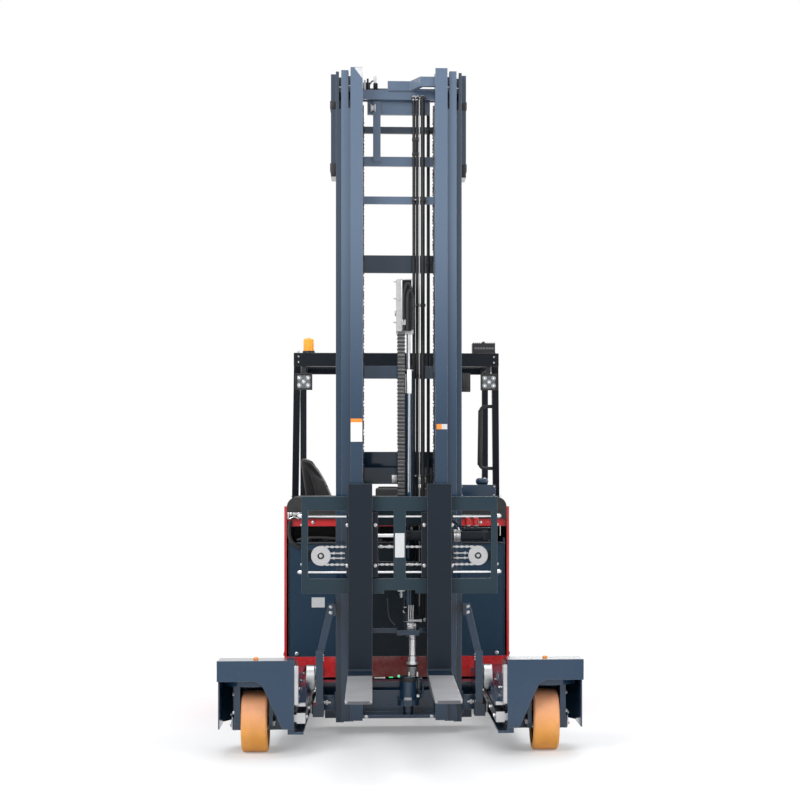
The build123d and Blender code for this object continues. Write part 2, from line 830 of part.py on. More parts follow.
def arm_console():
    """Padded console to the right of the driver with three hydraulic levers."""
    top_z = bonnet_top_z + arm_console_height
    base = block(*arm_console_x, bulkhead_y - 15, bonnet_rear_y + arm_console_rear,
                 bonnet_top_z, top_z)
    base = fillet(base.edges().group_by(Axis.Z)[-1], 15)
    y = bonnet_rear_y - lever_setback
    knob_z = top_z + lever_length
    for place in lever_places:
        base += rod_z(place, y, top_z - 5, knob_z, lever_radius)
        base += Pos(place, y, knob_z) * Sphere(lever_knob_radius)
    return base


def terminal_box():
    """Slate box for the display, on the bonnet at the entry side."""
    front = body_front_y + terminal_box_setback
    edge = body_half_width - terminal_box_inset
    return block(edge - terminal_box_width, edge, front, front + terminal_box_depth,
                 bonnet_top_z, bonnet_top_z + terminal_box_height)


def pedals():
    """Three pedals on the footwell's floor."""
    group = Part()
    for place, width in pedal_table:
        wedge = [(place, footwell_z), (place + width, footwell_z),
                 (place + width, footwell_z + pedal_rise), (place, footwell_z + pedal_lip)]
        group += plate_y(wedge, *pedal_y)
    return group


# Overhead guard

def overhead_guard():
    """Four pillars and the roof frame with its bars."""
    outer = block(-guard_half_width, guard_half_width, guard_front_y, guard_rear_y,
                  guard_bottom_z, guard_top_z)
    inner = block(guard_beam - guard_half_width, guard_half_width - guard_beam,
                  guard_front_y + guard_beam, guard_rear_y - guard_beam,
                  guard_bottom_z - 1, guard_top_z + 1)
    guard = outer - inner
    span = guard_rear_y - guard_front_y - 2 * guard_beam
    pitch = span / (guard_bar_count + 1)
    for bar in range(1, guard_bar_count + 1):
        y = guard_front_y + guard_beam + bar * pitch
        guard += block(guard_beam - guard_half_width, guard_half_width - guard_beam,
                       y - guard_bar_thickness / 2, y + guard_bar_thickness / 2,
                       guard_top_z - guard_bar_depth, guard_top_z)
    foot_z = bonnet_top_z - bonnet_round
    steep = front_pillar_lean * bonnet_round / (guard_bottom_z - bonnet_top_z)
    foot = Pos(pillar_foot_x + pillar_width / 2, front_pillar_foot_y + steep, foot_z)
    top = Pos(pillar_top_x + pillar_width / 2, front_pillar_foot_y - front_pillar_lean
              + front_pillar_depth / 2, guard_bottom_z)
    pillar = loft([foot * Rectangle(pillar_width, front_pillar_foot_depth),
                   top * Rectangle(pillar_width, front_pillar_depth)], ruled=True)
    guard += both_sides(pillar - bonnet_form(seat_gap))
    guard += both_sides(block(pillar_top_x, pillar_top_x + pillar_width, rear_pillar_y,
                              rear_pillar_y + rear_pillar_depth, panel_top_z, guard_bottom_z))
    return guard


def work_lamps():
    """Two square lamps hung under the front of the guard."""
    front = guard_front_y - work_lamp_depth + 5
    half = work_lamp_size / 2
    work_lamp_x = guard_half_width - work_lamp_inset
    work_lamp_top_z = guard_bottom_z - work_lamp_drop
    low = work_lamp_top_z - work_lamp_size
    lamp = block(work_lamp_x - half, work_lamp_x + half, front, front + work_lamp_depth,
                 low, work_lamp_top_z)
    lamp = fillet(lamp.edges().filter_by(Axis.Y), lamp_corner)
    lens = block(work_lamp_x - half + lens_border, work_lamp_x + half - lens_border, front - 1,
                 front + lens_recess, low + lens_border, work_lamp_top_z - lens_border)
    lamp -= fillet(lens.edges().filter_by(Axis.Y), lamp_corner - lens_border)
    stalk_rear_y = guard_front_y + 20
    stalk = block(work_lamp_x - 12, work_lamp_x + 12, front + 30, stalk_rear_y,
                  work_lamp_top_z, work_lamp_top_z + work_lamp_stalk)
    stalk += block(work_lamp_x - 12, work_lamp_x + 12, stalk_rear_y - 12, stalk_rear_y,
                   work_lamp_top_z, guard_bottom_z)
    return both_sides(lamp + stalk)


def beacon():
    y = guard_front_y + guard_beam / 2 + 12
    dome = rod_z(beacon_inset - guard_half_width, y, guard_top_z, guard_top_z + beacon_height,
                 beacon_radius)
    return fillet(dome.edges().group_by(Axis.Z)[-1], 14)


def roof_lamp():
    """Finned lamp on the guard's front beam."""
    width, depth, height = roof_lamp_size
    y = guard_front_y + 10
    roof_lamp_x = guard_half_width - roof_lamp_inset
    lamp = block(roof_lamp_x - width / 2, roof_lamp_x + width / 2, y, y + depth,
                 guard_top_z, guard_top_z + height)
    for fin in range(6):
        x = roof_lamp_x - width / 2 + 12 + fin * (width - 24) / 5
        lamp -= block(x - 4, x + 4, y + depth / 2, y + depth + 1,
                      guard_top_z + 14, guard_top_z + height + 1)
    return lamp


def grab_handle():
    """D handle on the entry-side front pillar, in the plane of the pillar."""
    handle_top_z = guard_bottom_z - handle_drop
    handle_bottom_z = handle_top_z - handle_length
    top_x, top_y = pillar_place(handle_top_z)
    low_x, low_y = pillar_place(handle_bottom_z)
    out = top_x - handle_reach
    top_x -= seat_gap
    low_x -= seat_gap
    path = FilletPolyline((top_x, top_y, handle_top_z), (out, top_y, handle_top_z),
                          (out, low_y, handle_bottom_z), (low_x, low_y, handle_bottom_z),
                          radius=handle_bend)
    ring = Plane(origin=(top_x, top_y, handle_top_z), z_dir=(-1, 0, 0)) * Circle(handle_radius)
    return sweep(ring, path=path)


def pillar_place(z):
    """Inner side and mid-depth of the entry-side front pillar at a height."""
    foot_z = bonnet_top_z - bonnet_round
    steep = front_pillar_lean * bonnet_round / (guard_bottom_z - bonnet_top_z)
    share = (z - foot_z) / (guard_bottom_z - foot_z)
    foot_y = front_pillar_foot_y + steep
    top_y = front_pillar_foot_y - front_pillar_lean + front_pillar_depth / 2
    return (pillar_foot_x + share * (pillar_top_x - pillar_foot_x),
            foot_y + share * (top_y - foot_y))


# Mast

def i_rail(inner_x, outer_x, web_x, front_y, z0, z1):
    """A rolled rail with front and rear flanges and one web, on the right-hand side."""
    back = front_y + rail_depth_y
    rail = block(inner_x, outer_x, front_y, front_y + rail_flange_thickness, z0, z1)
    rail += block(inner_x, outer_x, back - rail_flange_thickness, back, z0, z1)
    rail += block(web_x, web_x + rail_web, front_y, back, z0, z1)
    return rail


def cross_member(half, front_y, depth, z0, z1):
    return block(-half, half, front_y, front_y + depth, z0, z1)


def stage_roller(web_x, near_x, far_x, channel_front_y, z):
    """Roller on a stub from one rail's web, running between the flanges of the next rail."""
    y = channel_front_y + rail_depth_y / 2
    if far_x > web_x:
        start, end = near_x + roller_side_gap, far_x - roller_side_gap
    else:
        start, end = far_x + roller_side_gap, near_x - roller_side_gap
    roller = rod_x(start, end, y, z, mast_roller_radius)
    return roller + rod_x(min(web_x, start), max(web_x, end), y, z, roller_stub_radius)


def mast_outer():
    """Outer channels, their feet, cheeks and rear bars."""
    rail = i_rail(outer_inner_x, outer_edge_x, outer_web_x, outer_front_y,
                  outer_bottom_z, outer_top_z)
    rail -= block(outer_inner_x - 1, outer_inner_x + flange_notch_width,
                  outer_front_y - 1, outer_front_y + rail_flange_thickness + 1,
                  outer_top_z - flange_notch, outer_top_z + 1)
    cheek = block(outer_edge_x, outer_edge_x + cheek_thickness, outer_back_y - 60,
                  rear_bar_back_y, cheek_top_z - cheek_length, cheek_top_z)
    roller = stage_roller(outer_web_x, middle_outer_x, middle_web_x + rail_web,
                          middle_front_y, outer_top_z - stage_roller_drop)
    mast = both_sides(rail + cheek + roller)
    edge = outer_edge_x + cheek_thickness
    for drop, height in outer_crosses:
        z1 = mast_top_z - drop
        mast += cross_member(edge, rear_bar_y, outer_cross_depth, z1 - height, z1)
        if z1 < cheek_top_z - cheek_length:
            mast += both_sides(block(outer_edge_x, edge, outer_back_y - 60, rear_bar_y,
                                     z1 - height, z1))
    mast += cross_member(frame_plate_x, outer_back_y, rear_bar_back_y - outer_back_y,
                         outer_bottom_z, base_top_z) - lift_foot_holes()
    return mast


def lift_foot_holes():
    """Sockets in the base beam for the feet of the lift cylinders."""
    return both_sides(rod_z(lift_x, lift_y, outer_bottom_z + 40, base_top_z + 1,
                            lift_barrel_radius + seat_gap))


def mast_middle():
    """Middle rails with cross-members behind them and the heads for the lift rods."""
    rail = i_rail(middle_inner_x, middle_outer_x, middle_web_x, middle_front_y,
                  middle_bottom_z, middle_top_z)
    rail -= block(middle_inner_x - 1, middle_inner_x + flange_notch_width,
                  middle_front_y - 1, middle_front_y + rail_flange_thickness + 1,
                  middle_top_z - flange_notch, middle_top_z + 1)
    mast = both_sides(rail)
    half = outer_inner_x - cross_gap
    for drop, height in middle_crosses:
        z1 = mast_top_z - drop
        mast += cross_member(half, middle_cross_front_y, middle_cross_depth, z1 - height, z1)
    mast += cross_member(half, middle_cross_front_y, middle_cross_depth, *middle_foot_cross_z)
    mast += cross_member(middle_apron_half, middle_cross_front_y, middle_cross_depth,
                         rod_head_z - middle_apron_height, rod_head_z)
    post_foot_z = mast_top_z - middle_crosses[1][0] - middle_crosses[1][1] / 2
    mast += block(post_x, post_x + post_width, middle_cross_front_y - post_thickness,
                  middle_cross_front_y, post_foot_z, rod_head_z)
    low, high = rod_head_z, rod_head_z + rod_head_thickness
    head = block(half - 40, half, middle_cross_back_y, lift_y + 32, low, high)
    head += block(half, lift_x + 28, outer_back_y + cross_gap, lift_y + 32, low, high)
    mast += both_sides(head)
    top_roller = stage_roller(middle_web_x, inner_outer_x, inner_web_x + rail_web,
                              inner_front_y, middle_top_z - stage_roller_drop)
    low_roller = stage_roller(middle_web_x + rail_web, middle_outer_x, outer_web_x,
                              outer_front_y, middle_bottom_z + stage_roller_rise)
    return mast + both_sides(top_roller + low_roller)


def mast_inner():
    """Inner rails, the bent bar at the top and the cross-members between the rails."""
    rail = i_rail(inner_gap_x, inner_outer_x, inner_web_x, inner_front_y, inner_bottom_z,
                  mast_top_z)
    roller = stage_roller(inner_web_x + rail_web, inner_outer_x, middle_web_x,
                          middle_front_y, inner_bottom_z + stage_roller_rise)
    mast = both_sides(rail + roller)
    for drop, height in inner_crosses:
        z1 = mast_top_z - drop
        mast += cross_member(inner_gap_x, inner_cross_front_y, inner_cross_depth, z1 - height, z1)
    shelf_low_z = free_shelf_z - free_shelf_thickness
    mast += cross_member(inner_gap_x, inner_cross_front_y, inner_cross_depth,
                         shelf_low_z, free_shelf_z)
    mast += block(*free_shelf_x, free_shelf_y, inner_back_y, shelf_low_z, free_shelf_z)
    mast += cross_member(inner_gap_x, base_plate_y, inner_back_y - base_plate_y,
                         inner_bottom_z, base_plate_top_z)
    mast += cross_member(inner_gap_x, inner_front_y, base_plate_y - inner_front_y,
                         base_shelf_z, base_shelf_z + base_shelf_thickness)
    front = inner_front_y + 15
    near, bend, end = bent_bar_x
    deep = inner_back_y - bent_bar_depth
    bent = [(inner_gap_x, front), (near, front), (bend, deep), (end, deep),
            (end, inner_back_y), (bend + 15, inner_back_y), (near + 15, front + bent_bar_depth),
            (inner_gap_x, front + bent_bar_depth)]
    bar_top_z = mast_top_z - bent_bar_drop
    mast += plate_z(bent, bar_top_z - bent_bar_height, bar_top_z)
    mast += cross_member(inner_gap_x, inner_cross_front_y, inner_cross_depth,
                         bar_top_z - bent_bar_height - 45, bar_top_z - bent_bar_height + 5)
    return mast


# Cylinders

def barrel(x, y, z0, z1, outside, bore, rod):
    """A cylinder barrel with a closed foot, a bore and a gland that fits the rod."""
    tube = rod_z(x, y, z0, z1, outside)
    tube -= rod_z(x, y, z0 + 40, z1 - gland_length, bore)
    tube -= rod_z(x, y, z1 - gland_length - 1, z1 + 1, rod + running_gap)
    return tube


def lift_cylinders():
    return both_sides(barrel(lift_x, lift_y, outer_bottom_z + 40, lift_barrel_top_z,
                             lift_barrel_radius, lift_bore_radius, lift_rod_radius))


def lift_rods():
    rod = rod_z(lift_x, lift_y, 200.0, rod_head_z, lift_rod_radius)
    rod += rod_z(lift_x, lift_y, 200.0, 240.0, lift_bore_radius - seat_gap)
    return both_sides(rod)


def free_lift_cylinder():
    """Barrel on the shelf of the inner mast, and the stepped foot below the shelf."""
    tube = barrel(free_x, free_y, free_shelf_z, free_barrel_top_z, free_barrel_radius,
                  free_bore_radius, free_rod_radius)
    return tube + stepped(foot_x, free_y, foot_steps)


def foot_piston():
    """Polished piston with its collar and flange, from the stepped foot up to the shelf."""
    return stepped(piston_x, free_y, piston_steps)


def stepped(x, y, steps):
    """Coaxial cylinders along Z from a table of radius, lower and upper height."""
    group = Part()
    for radius, z0, z1 in steps:
        group += rod_z(x, y, z0, z1, radius)
    return group


def free_lift_head():
    """Rod of the free-lift cylinder with the crosshead at its top."""
    head = rod_z(free_x, free_y, free_rod_foot_z, crosshead_bottom_z, free_rod_radius)
    head += rod_z(free_x, free_y, free_rod_foot_z, free_rod_foot_z + 40,
                  free_bore_radius - seat_gap)
    reach = crosshead_half
    head += block(free_x - reach, free_x + reach, free_y - reach, free_y + reach,
                  crosshead_bottom_z, crosshead_bottom_z + crosshead_foot)
    side = carriage_chain_width / 2 + pulley_side_gap
    left, right = carriage_chain_x - side, carriage_chain_x + side
    head += block(right, right + pulley_plate, free_y - reach, free_y + reach,
                  crosshead_bottom_z, crosshead_top_z)
    head += block(left - pulley_plate, left, free_y - reach, free_y + reach,
                  crosshead_bottom_z, crosshead_top_z)
    head += rod_x(left, right, free_y, pulley_z, pulley_pin_radius)
    face_y = free_y - pulley_radius - chain_thickness / 2 - bracket_gap
    head += block(left - pulley_plate, free_x + reach - 12, face_y - pulley_plate, face_y,
                  crosshead_bottom_z + 10, crosshead_top_z)
    head += block(left - pulley_plate, free_x + reach - 12, face_y, free_y + reach,
                  crosshead_top_z - pulley_plate, crosshead_top_z)
    return head


# Chains

def link_edge(half, waist, low, high, pitch):
    """Outline of a strand about its middle: full width at each pin, narrower between."""
    edge = []
    for link in range(int((high - low) / pitch)):
        foot = low + link * pitch
        edge += [(half, foot), (half, foot + 0.5 * pitch), (waist, foot + 0.6 * pitch),
                 (waist, foot + 0.9 * pitch)]
    edge.append((half, high))
    return edge + [(-x, z) for x, z in reversed(edge)]


def carriage_chain():
    """Leaf chain over the crosshead: one strand to the carriage, one to the inner mast."""
    half = carriage_chain_width / 2
    x0, x1 = carriage_chain_x - half, carriage_chain_x + half
    front = free_y - pulley_radius
    back = free_y + pulley_radius
    t = chain_thickness / 2
    chain = Part()
    for y, low in ((front, carriage_chain_end_z), (back, fixed_chain_end_z)):
        edge = link_edge(t, t - chain_waist, low, pulley_z, carriage_chain_pitch)
        chain += plate_x([(y + place, z) for place, z in edge], x0, x1)
    arc = rod_x(x0, x1, free_y, pulley_z, pulley_radius + t)
    arc -= rod_x(x0 - 1, x1 + 1, free_y, pulley_z, pulley_radius - t)
    arc -= block(x0 - 1, x1 + 1, back - 200, back + 20, pulley_z - 100, pulley_z)
    return chain + arc


def crosshead_pulley():
    half = carriage_chain_width / 2
    inside = pulley_radius - chain_thickness / 2 - seat_gap
    x0, x1 = carriage_chain_x - half, carriage_chain_x + half
    pulley = rod_x(x0, x1, free_y, pulley_z, inside)
    return pulley - rod_x(x0 - 1, x1 + 1, free_y, pulley_z, pulley_pin_radius + running_gap)


def mast_chains():
    """Edge-on leaf chains of the middle mast, with their pulleys near the top."""
    half = mast_chain_width / 2
    t = chain_thickness / 2
    front = mast_chain_y
    back = mast_chain_y + 2 * pulley_radius
    x = mast_chain_x
    strand = Part()
    for y, low in ((front, mast_chain_end_z), (back, mast_pulley_z - mast_chain_rear_length)):
        edge = link_edge(half, half - chain_waist, low, mast_pulley_z, mast_chain_pitch)
        strand += plate_y([(x + place, z) for place, z in edge], y - t, y + t)
    strand += rod_x(x - half, x + half, mast_pulley_y, mast_pulley_z, pulley_radius + t)
    strand += block(x + half, x + half + 12, middle_cross_front_y, mast_pulley_y + 20,
                    mast_pulley_z - 20, rod_head_z - seat_gap)
    return both_sides(strand)


def hoses(table, back_y, z0, z1):
    """Straight hoses clipped to the front of the cross-members all the way."""
    group = Part()
    for x, radius in table:
        group += rod_z(x, back_y - radius, z0, z1, radius)
    return group


# Reach carriage

def reach_frames():
    """Side plates with roller axles, the beam to the mast and the raked stays."""
    x0 = frame_plate_x
    x1 = x0 + frame_plate_thickness
    low = frame_plate_bottom_z
    top = frame_plate_top_z
    front = roller_front_y - 40
    rear = rear_bar_back_y
    side = [(front, low), (front, top), (front + 110, top), (front + 200, base_top_z + 60),
            (rear, base_top_z + 60), (rear, low), (front + 160, low)]
    frame = plate_x(side, x0, x1)
    for y, radius in reach_roller_table:
        frame += rod_x(x1, roller_x + roller_width / 2 - 4, y, ledge_top_z + roller_lift + radius,
                       roller_axle_radius)
    frame += block(x0, shoe_outer_x, shoe_front_y, shoe_front_y + shoe_length,
                   shoe_bottom_z, shoe_bottom_z + shoe_height)
    frame += block(x0, x1, shoe_front_y, shoe_front_y + shoe_length,
                   shoe_bottom_z + shoe_height, low + 60)
    stay = plate_y([(x0, top - 20), (x0 + stay_width, top - 20), (outer_edge_x + stay_width,
                    stay_top_z), (outer_edge_x, stay_top_z)], stay_front_y, stay_front_y + stay_plate)
    bracket = block(outer_edge_x, outer_edge_x + stay_width, stay_front_y, outer_front_y + 60,
                    stay_top_z - 60, stay_top_z)
    return both_sides(frame + stay + bracket)


def reach_rollers():
    """Steel rollers that carry the mast along the ledges of the legs."""
    group = Part()
    for y, radius in reach_roller_table:
        z = ledge_top_z + roller_lift + radius
        roller = rod_x(roller_x - roller_width / 2, roller_x + roller_width / 2, y, z, radius)
        roller = chamfer(roller.edges().filter_by(GeomType.CIRCLE), 4)
        roller -= rod_x(roller_x - roller_width, roller_x + roller_width, y, z,
                        roller_axle_radius)
        group += both_sides(roller)
    return group


def reach_barrel():
    """Barrel of the reach cylinder on the floor of the truck, with its foot."""
    front, rear = reach_barrel_front_y, reach_barrel_rear_y
    gland_y = front + reach_gland
    tube = rod_y(reach_rod_x, front, rear, reach_rod_z, reach_barrel_radius)
    tube -= rod_y(reach_rod_x, gland_y, rear - reach_end_wall, reach_rod_z,
                  reach_barrel_radius - reach_barrel_wall)
    tube -= rod_y(reach_rod_x, front - 1, gland_y + 1, reach_rod_z,
                  reach_rod_radius + running_gap)
    foot = block(reach_rod_x - reach_foot_half, reach_rod_x + reach_foot_half, front,
                 gland_y - 5, floor_z + floor_thickness, reach_rod_z)
    foot -= rod_y(reach_rod_x, front - 1, gland_y, reach_rod_z, reach_barrel_radius)
    return tube + foot


def reach_rod():
    rod = rod_y(reach_rod_x, rear_bar_back_y, reach_piston_y, reach_rod_z, reach_rod_radius)
    return rod + rod_y(reach_rod_x, reach_piston_y - 30, reach_piston_y, reach_rod_z,
                       reach_barrel_radius - reach_barrel_wall - seat_gap)


# Fork carriage

def carriage_frame():
    """Welded frame of two fork bars, two side posts and a centre post."""
    half = carriage_half_width
    y0 = carriage_front_y
    y1 = carriage_back_y
    frame = block(-half, half, y0, y1, carriage_bottom_z, carriage_top_z)
    low = carriage_bottom_z + bottom_bar_height
    high = carriage_top_z - top_bar_height
    window = block(centre_post_half, half - side_post_width, y0 - 1, y1 + 1, low, high)
    frame -= both_sides(window)
    for z in (upper_rod_z, lower_rod_z):
        frame -= rod_x(-half - 1, half + 1, guide_rod_y, z, guide_rod_radius + seat_gap)
    arm = block(disc_x - 45, half, y1 + disc_standoff, y1 + disc_standoff + 8,
                disc_z - 30, disc_z + 30)
    arm += block(half - 26, half, y1, y1 + disc_standoff, disc_z - 30, disc_z + 30)
    frame += both_sides(arm)
    notch = 80.0
    frame -= block(-notch, notch, y0 - 1, y1 + 1, carriage_bottom_z - 1, carriage_bottom_z + 17)
    return frame


def guide_rods():
    group = Part()
    for z in (upper_rod_z, lower_rod_z):
        rod = rod_x(-carriage_half_width - 4, carriage_half_width + 4, guide_rod_y, z,
                    guide_rod_radius)
        nut = rod_x(carriage_half_width + seat_gap, carriage_half_width + 14, guide_rod_y, z, 12)
        group += rod + both_sides(nut)
    return group


def lift_carriage():
    """Two roller plates between the inner rails, their cross plates and the mast rollers."""
    x0 = lift_plate_x
    x1 = x0 + lift_plate_thickness
    front = carriage_back_y
    rear = free_y + lift_plate_rear
    plate = block(x0, x1, front, rear, lift_plate_bottom_z, lift_plate_top_z)
    plate -= block(x0 - 1, x1 + 1, front - 1, front + 90,
                   carriage_bottom_z + bottom_bar_height + 8, carriage_top_z - top_bar_height - 8)
    for z in mast_roller_z:
        plate += rod_x(x1, x1 + 2 + mast_roller_width, free_y, z, mast_roller_radius)
    carriage = both_sides(plate)
    for z0 in (lift_plate_bottom_z, lift_plate_top_z - lift_cross_height):
        carriage += cross_member(x0, lift_cross_y, lift_cross_thickness, z0,
                                 z0 + lift_cross_height)
    return carriage


def positioner_cylinder():
    """Barrel of the fork positioner, lying across the carriage."""
    tube = rod_x(positioner_front_x, positioner_end_x, positioner_y, positioner_z,
                 positioner_radius)
    tube -= rod_x(positioner_front_x + 30, positioner_end_x - 15, positioner_y, positioner_z,
                  positioner_bore)
    tube -= rod_x(positioner_front_x - 1, positioner_front_x + 31, positioner_y, positioner_z,
                  positioner_rod_radius + running_gap)
    foot = block(positioner_end_x - 25, positioner_end_x, carriage_back_y, positioner_y,
                 positioner_z - 20, positioner_z + 20)
    foot -= rod_x(positioner_end_x - 26, positioner_end_x + 1, positioner_y, positioner_z,
                  positioner_radius)
    arm = block(positioner_end_x, carriage_half_width, carriage_back_y, carriage_back_y + 16,
                positioner_z - 20, positioner_z + 20)
    arm += block(positioner_end_x - 25, positioner_end_x, carriage_back_y, carriage_back_y + 16,
                 positioner_z - 20, positioner_z + 20)
    return tube + foot + arm


def positioner_rod():
    """Chrome rod that pushes the left fork."""
    end = seat_gap - hanger_inner_x
    far = positioner_piston_x
    rod = rod_x(end, far, positioner_y, positioner_z, positioner_rod_radius)
    rod += rod_x(far - positioner_piston_length, far, positioner_y, positioner_z,
                 positioner_bore - seat_gap)
    return rod


def positioner_chain():
    """Chain loop with its two discs, which ties the forks together."""
    y0 = carriage_front_y + hanger_thickness + disc_clearance + disc_cap + disc_thickness
    y1 = y0 + 10
    run = Part()
    edge = link_edge(6, 6 - chain_waist, -disc_x, disc_x, positioner_chain_pitch)
    for middle in (disc_z - chain_pitch_radius, disc_z + chain_pitch_radius):
        run += plate_y([(place, middle + height) for height, place in edge], y0, y1)
    for side in (-1, 1):
        run += rod_y(side * disc_x, y0, y1, disc_z, chain_pitch_radius + 5)
        run += rod_y(side * disc_x, y1, carriage_back_y + disc_standoff - seat_gap, disc_z, 20)
        run += rod_y(side * disc_x, y0 - disc_thickness, y0, disc_z, disc_radius)
        run += rod_y(side * disc_x, y0 - disc_thickness - disc_cap, y0, disc_z, 18)
    return run


# Forks

def fork(side):
    """One fork: tapered blade, heel, shank, hooks and the hanger for the positioner."""
    half = fork_width / 2
    x = side * fork_x
    tip_bottom = blade_top_z - fork_tip_thickness
    profile = [(fork_tip_y, blade_top_z), (shank_front_y, blade_top_z),
               (shank_front_y, shank_top_z), (shank_back_y - seat_gap, shank_top_z),
               (shank_back_y - seat_gap, blade_bottom_z + 35),
               (shank_back_y - seat_gap - 35, blade_bottom_z),
               (shank_front_y - fork_taper_start, blade_bottom_z), (fork_tip_y, tip_bottom)]
    body = plate_x(profile, x - half, x + half)
    tips = body.edges().filter_by(Axis.Z).group_by(Axis.Y)[0]
    body = fillet(tips, fork_tip_round)
    heel = body.edges().filter_by(Axis.X).sort_by_distance((x, shank_front_y, blade_top_z))
    body = fillet(heel[0], fork_heel_round)
    back = shank_back_y - seat_gap
    over = carriage_top_z + seat_gap
    rear = carriage_back_y + seat_gap
    body += block(x - half + 10, x + half - 10, back, rear + hook_thickness,
                  over, over + hook_thickness)
    body += block(x - half + 10, x + half - 10, rear, rear + hook_thickness,
                  over - hook_catch, over)
    under = carriage_bottom_z - seat_gap
    body += block(x - half + 10, x + half - 10, back, rear + hook_thickness,
                  under - hook_thickness, under)
    body += block(x - half + 10, x + half - 10, rear, rear + hook_thickness,
                  under, under + hook_catch - 4)
    return body + hanger(side)


def hanger(side):
    """Plate behind the shank that slides on the guide rods."""
    low = carriage_bottom_z + bottom_bar_height + hanger_gap
    high = carriage_top_z - top_bar_height - hanger_gap
    front = shank_back_y - seat_gap
    x0, x1 = hanger_inner_x, hanger_outer_x
    plate = block(x0, x1, front, carriage_front_y + hanger_thickness, low, high)
    for z in (upper_rod_z, lower_rod_z):
        plate -= rod_x(x0 - 1, x1 + 1, guide_rod_y, z, guide_rod_radius + seat_gap)
    if side > 0:
        return plate
    arm = block(x0, x0 + 30, carriage_front_y + hanger_thickness, positioner_y + 15,
                positioner_z - 15, positioner_z + 15)
    return mirrored(plate + arm)


# All pieces, moved so that the origin is under the middle of the truck

load_tyre, load_hub = tyre_and_hub(load_wheel_x, 0, load_wheel_radius, load_wheel_width,
                                   load_tyre_thickness, load_hub_width, load_axle_radius,
                                   load_tyre_round)
drive_tyre, drive_hub = tyre_and_hub(drive_x, drive_y, drive_radius, drive_width,
                                     drive_tyre_thickness, drive_hub_width, drive_axle_radius, 12)

right_leg = leg()
right_yoke = load_yoke()

pieces = {
    "leg_right": right_leg,
    "leg_left": mirrored(right_leg),
    "guide_bars": both_sides(guide_bar()),
    "load_yoke_right": right_yoke,
    "load_yoke_left": mirrored(right_yoke),
    "load_tyre_right": load_tyre,
    "load_tyre_left": mirrored(load_tyre),
    "load_hub_right": load_hub,
    "load_hub_left": mirrored(load_hub),
    "drive_unit": drive_unit(),
    "drive_motor": drive_motor(),
    "drive_tyre": drive_tyre,
    "drive_hub": drive_hub,
    "chassis_frame": chassis_frame(),
    "battery": battery(),
    "battery_rail": battery_rail(),
    "bonnet": bonnet(),
    "side_panel_left": side_panel_left(),
    "side_panel_right": side_panel_right(),
    "rear_hood": rear_hood(),
    "seat_box": seat_box(),
    "rear_console": rear_console(),
    "handwheel": handwheel(),
    "seat_cushion": seat_cushion(),
    "seat_back": seat_back(),
    "arm_console": arm_console(),
    "terminal_box": terminal_box(),
    "pedals": pedals(),
    "overhead_guard": overhead_guard(),
    "work_lamps": work_lamps(),
    "beacon": beacon(),
    "roof_lamp": roof_lamp(),
    "grab_handle": grab_handle(),
    "mast_outer": mast_outer(),
    "mast_middle": mast_middle(),
    "mast_inner": mast_inner(),
    "lift_cylinders": lift_cylinders(),
    "lift_rods": lift_rods(),
    "free_lift_cylinder": free_lift_cylinder(),
    "foot_piston": foot_piston(),
    "free_lift_head": free_lift_head(),
    "crosshead_pulley": crosshead_pulley(),
    "carriage_chain": carriage_chain(),
    "mast_chains": mast_chains(),
    "inner_hoses": hoses(inner_hose_table, inner_cross_front_y, inner_hose_bottom_z,
                         hose_top_z),
    "outer_hoses": hoses(outer_hose_table, rear_bar_y, outer_hose_bottom_z,
                         hose_top_z),
    "reach_frames": reach_frames(),
    "reach_rollers": reach_rollers(),
    "reach_barrel": reach_barrel(),
    "reach_rod": reach_rod(),
    "carriage_frame": carriage_frame(),
    "guide_rods": guide_rods(),
    "lift_carriage": lift_carriage(),
    "positioner_cylinder": positioner_cylinder(),
    "positioner_rod": positioner_rod(),
    "positioner_chain": positioner_chain(),
    "fork_left": fork(-1),
    "fork_right": fork(1),
}

os.makedirs("parts", exist_ok=True)
for name, piece in pieces.items():
    export_step(Pos(0, -middle_of_length, 0) * piece, "parts/" + name + ".step")
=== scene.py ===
import json
import math

import bmesh
import bpy
from mathutils import Matrix, Vector


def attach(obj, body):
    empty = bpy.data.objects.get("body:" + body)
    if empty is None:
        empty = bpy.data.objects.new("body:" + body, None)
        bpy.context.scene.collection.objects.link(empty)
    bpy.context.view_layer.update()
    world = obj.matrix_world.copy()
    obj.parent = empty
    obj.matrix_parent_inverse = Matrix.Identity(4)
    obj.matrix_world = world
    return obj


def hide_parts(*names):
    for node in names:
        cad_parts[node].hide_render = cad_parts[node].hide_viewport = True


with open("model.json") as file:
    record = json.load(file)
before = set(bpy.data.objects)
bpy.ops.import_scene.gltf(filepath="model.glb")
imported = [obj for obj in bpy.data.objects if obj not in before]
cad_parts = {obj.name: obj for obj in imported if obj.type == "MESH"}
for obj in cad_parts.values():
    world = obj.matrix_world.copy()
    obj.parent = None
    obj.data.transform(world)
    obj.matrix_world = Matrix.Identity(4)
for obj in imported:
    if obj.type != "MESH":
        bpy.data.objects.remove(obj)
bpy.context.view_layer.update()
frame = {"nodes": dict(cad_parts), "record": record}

bl_info = {
    "name": "Four-way reach truck",
    "version": (1, 0, 0),
    "blender": (4, 5, 0),
    "location": "View3D > Sidebar > Reach truck",
    "description": "Paint, worn steel, chains, hoses, lamps and seat of a four-way reach truck",
    "category": "Object",
}

SHIFT = 0.7675      # the load wheels' axle lies this far in front of the origin, in metres

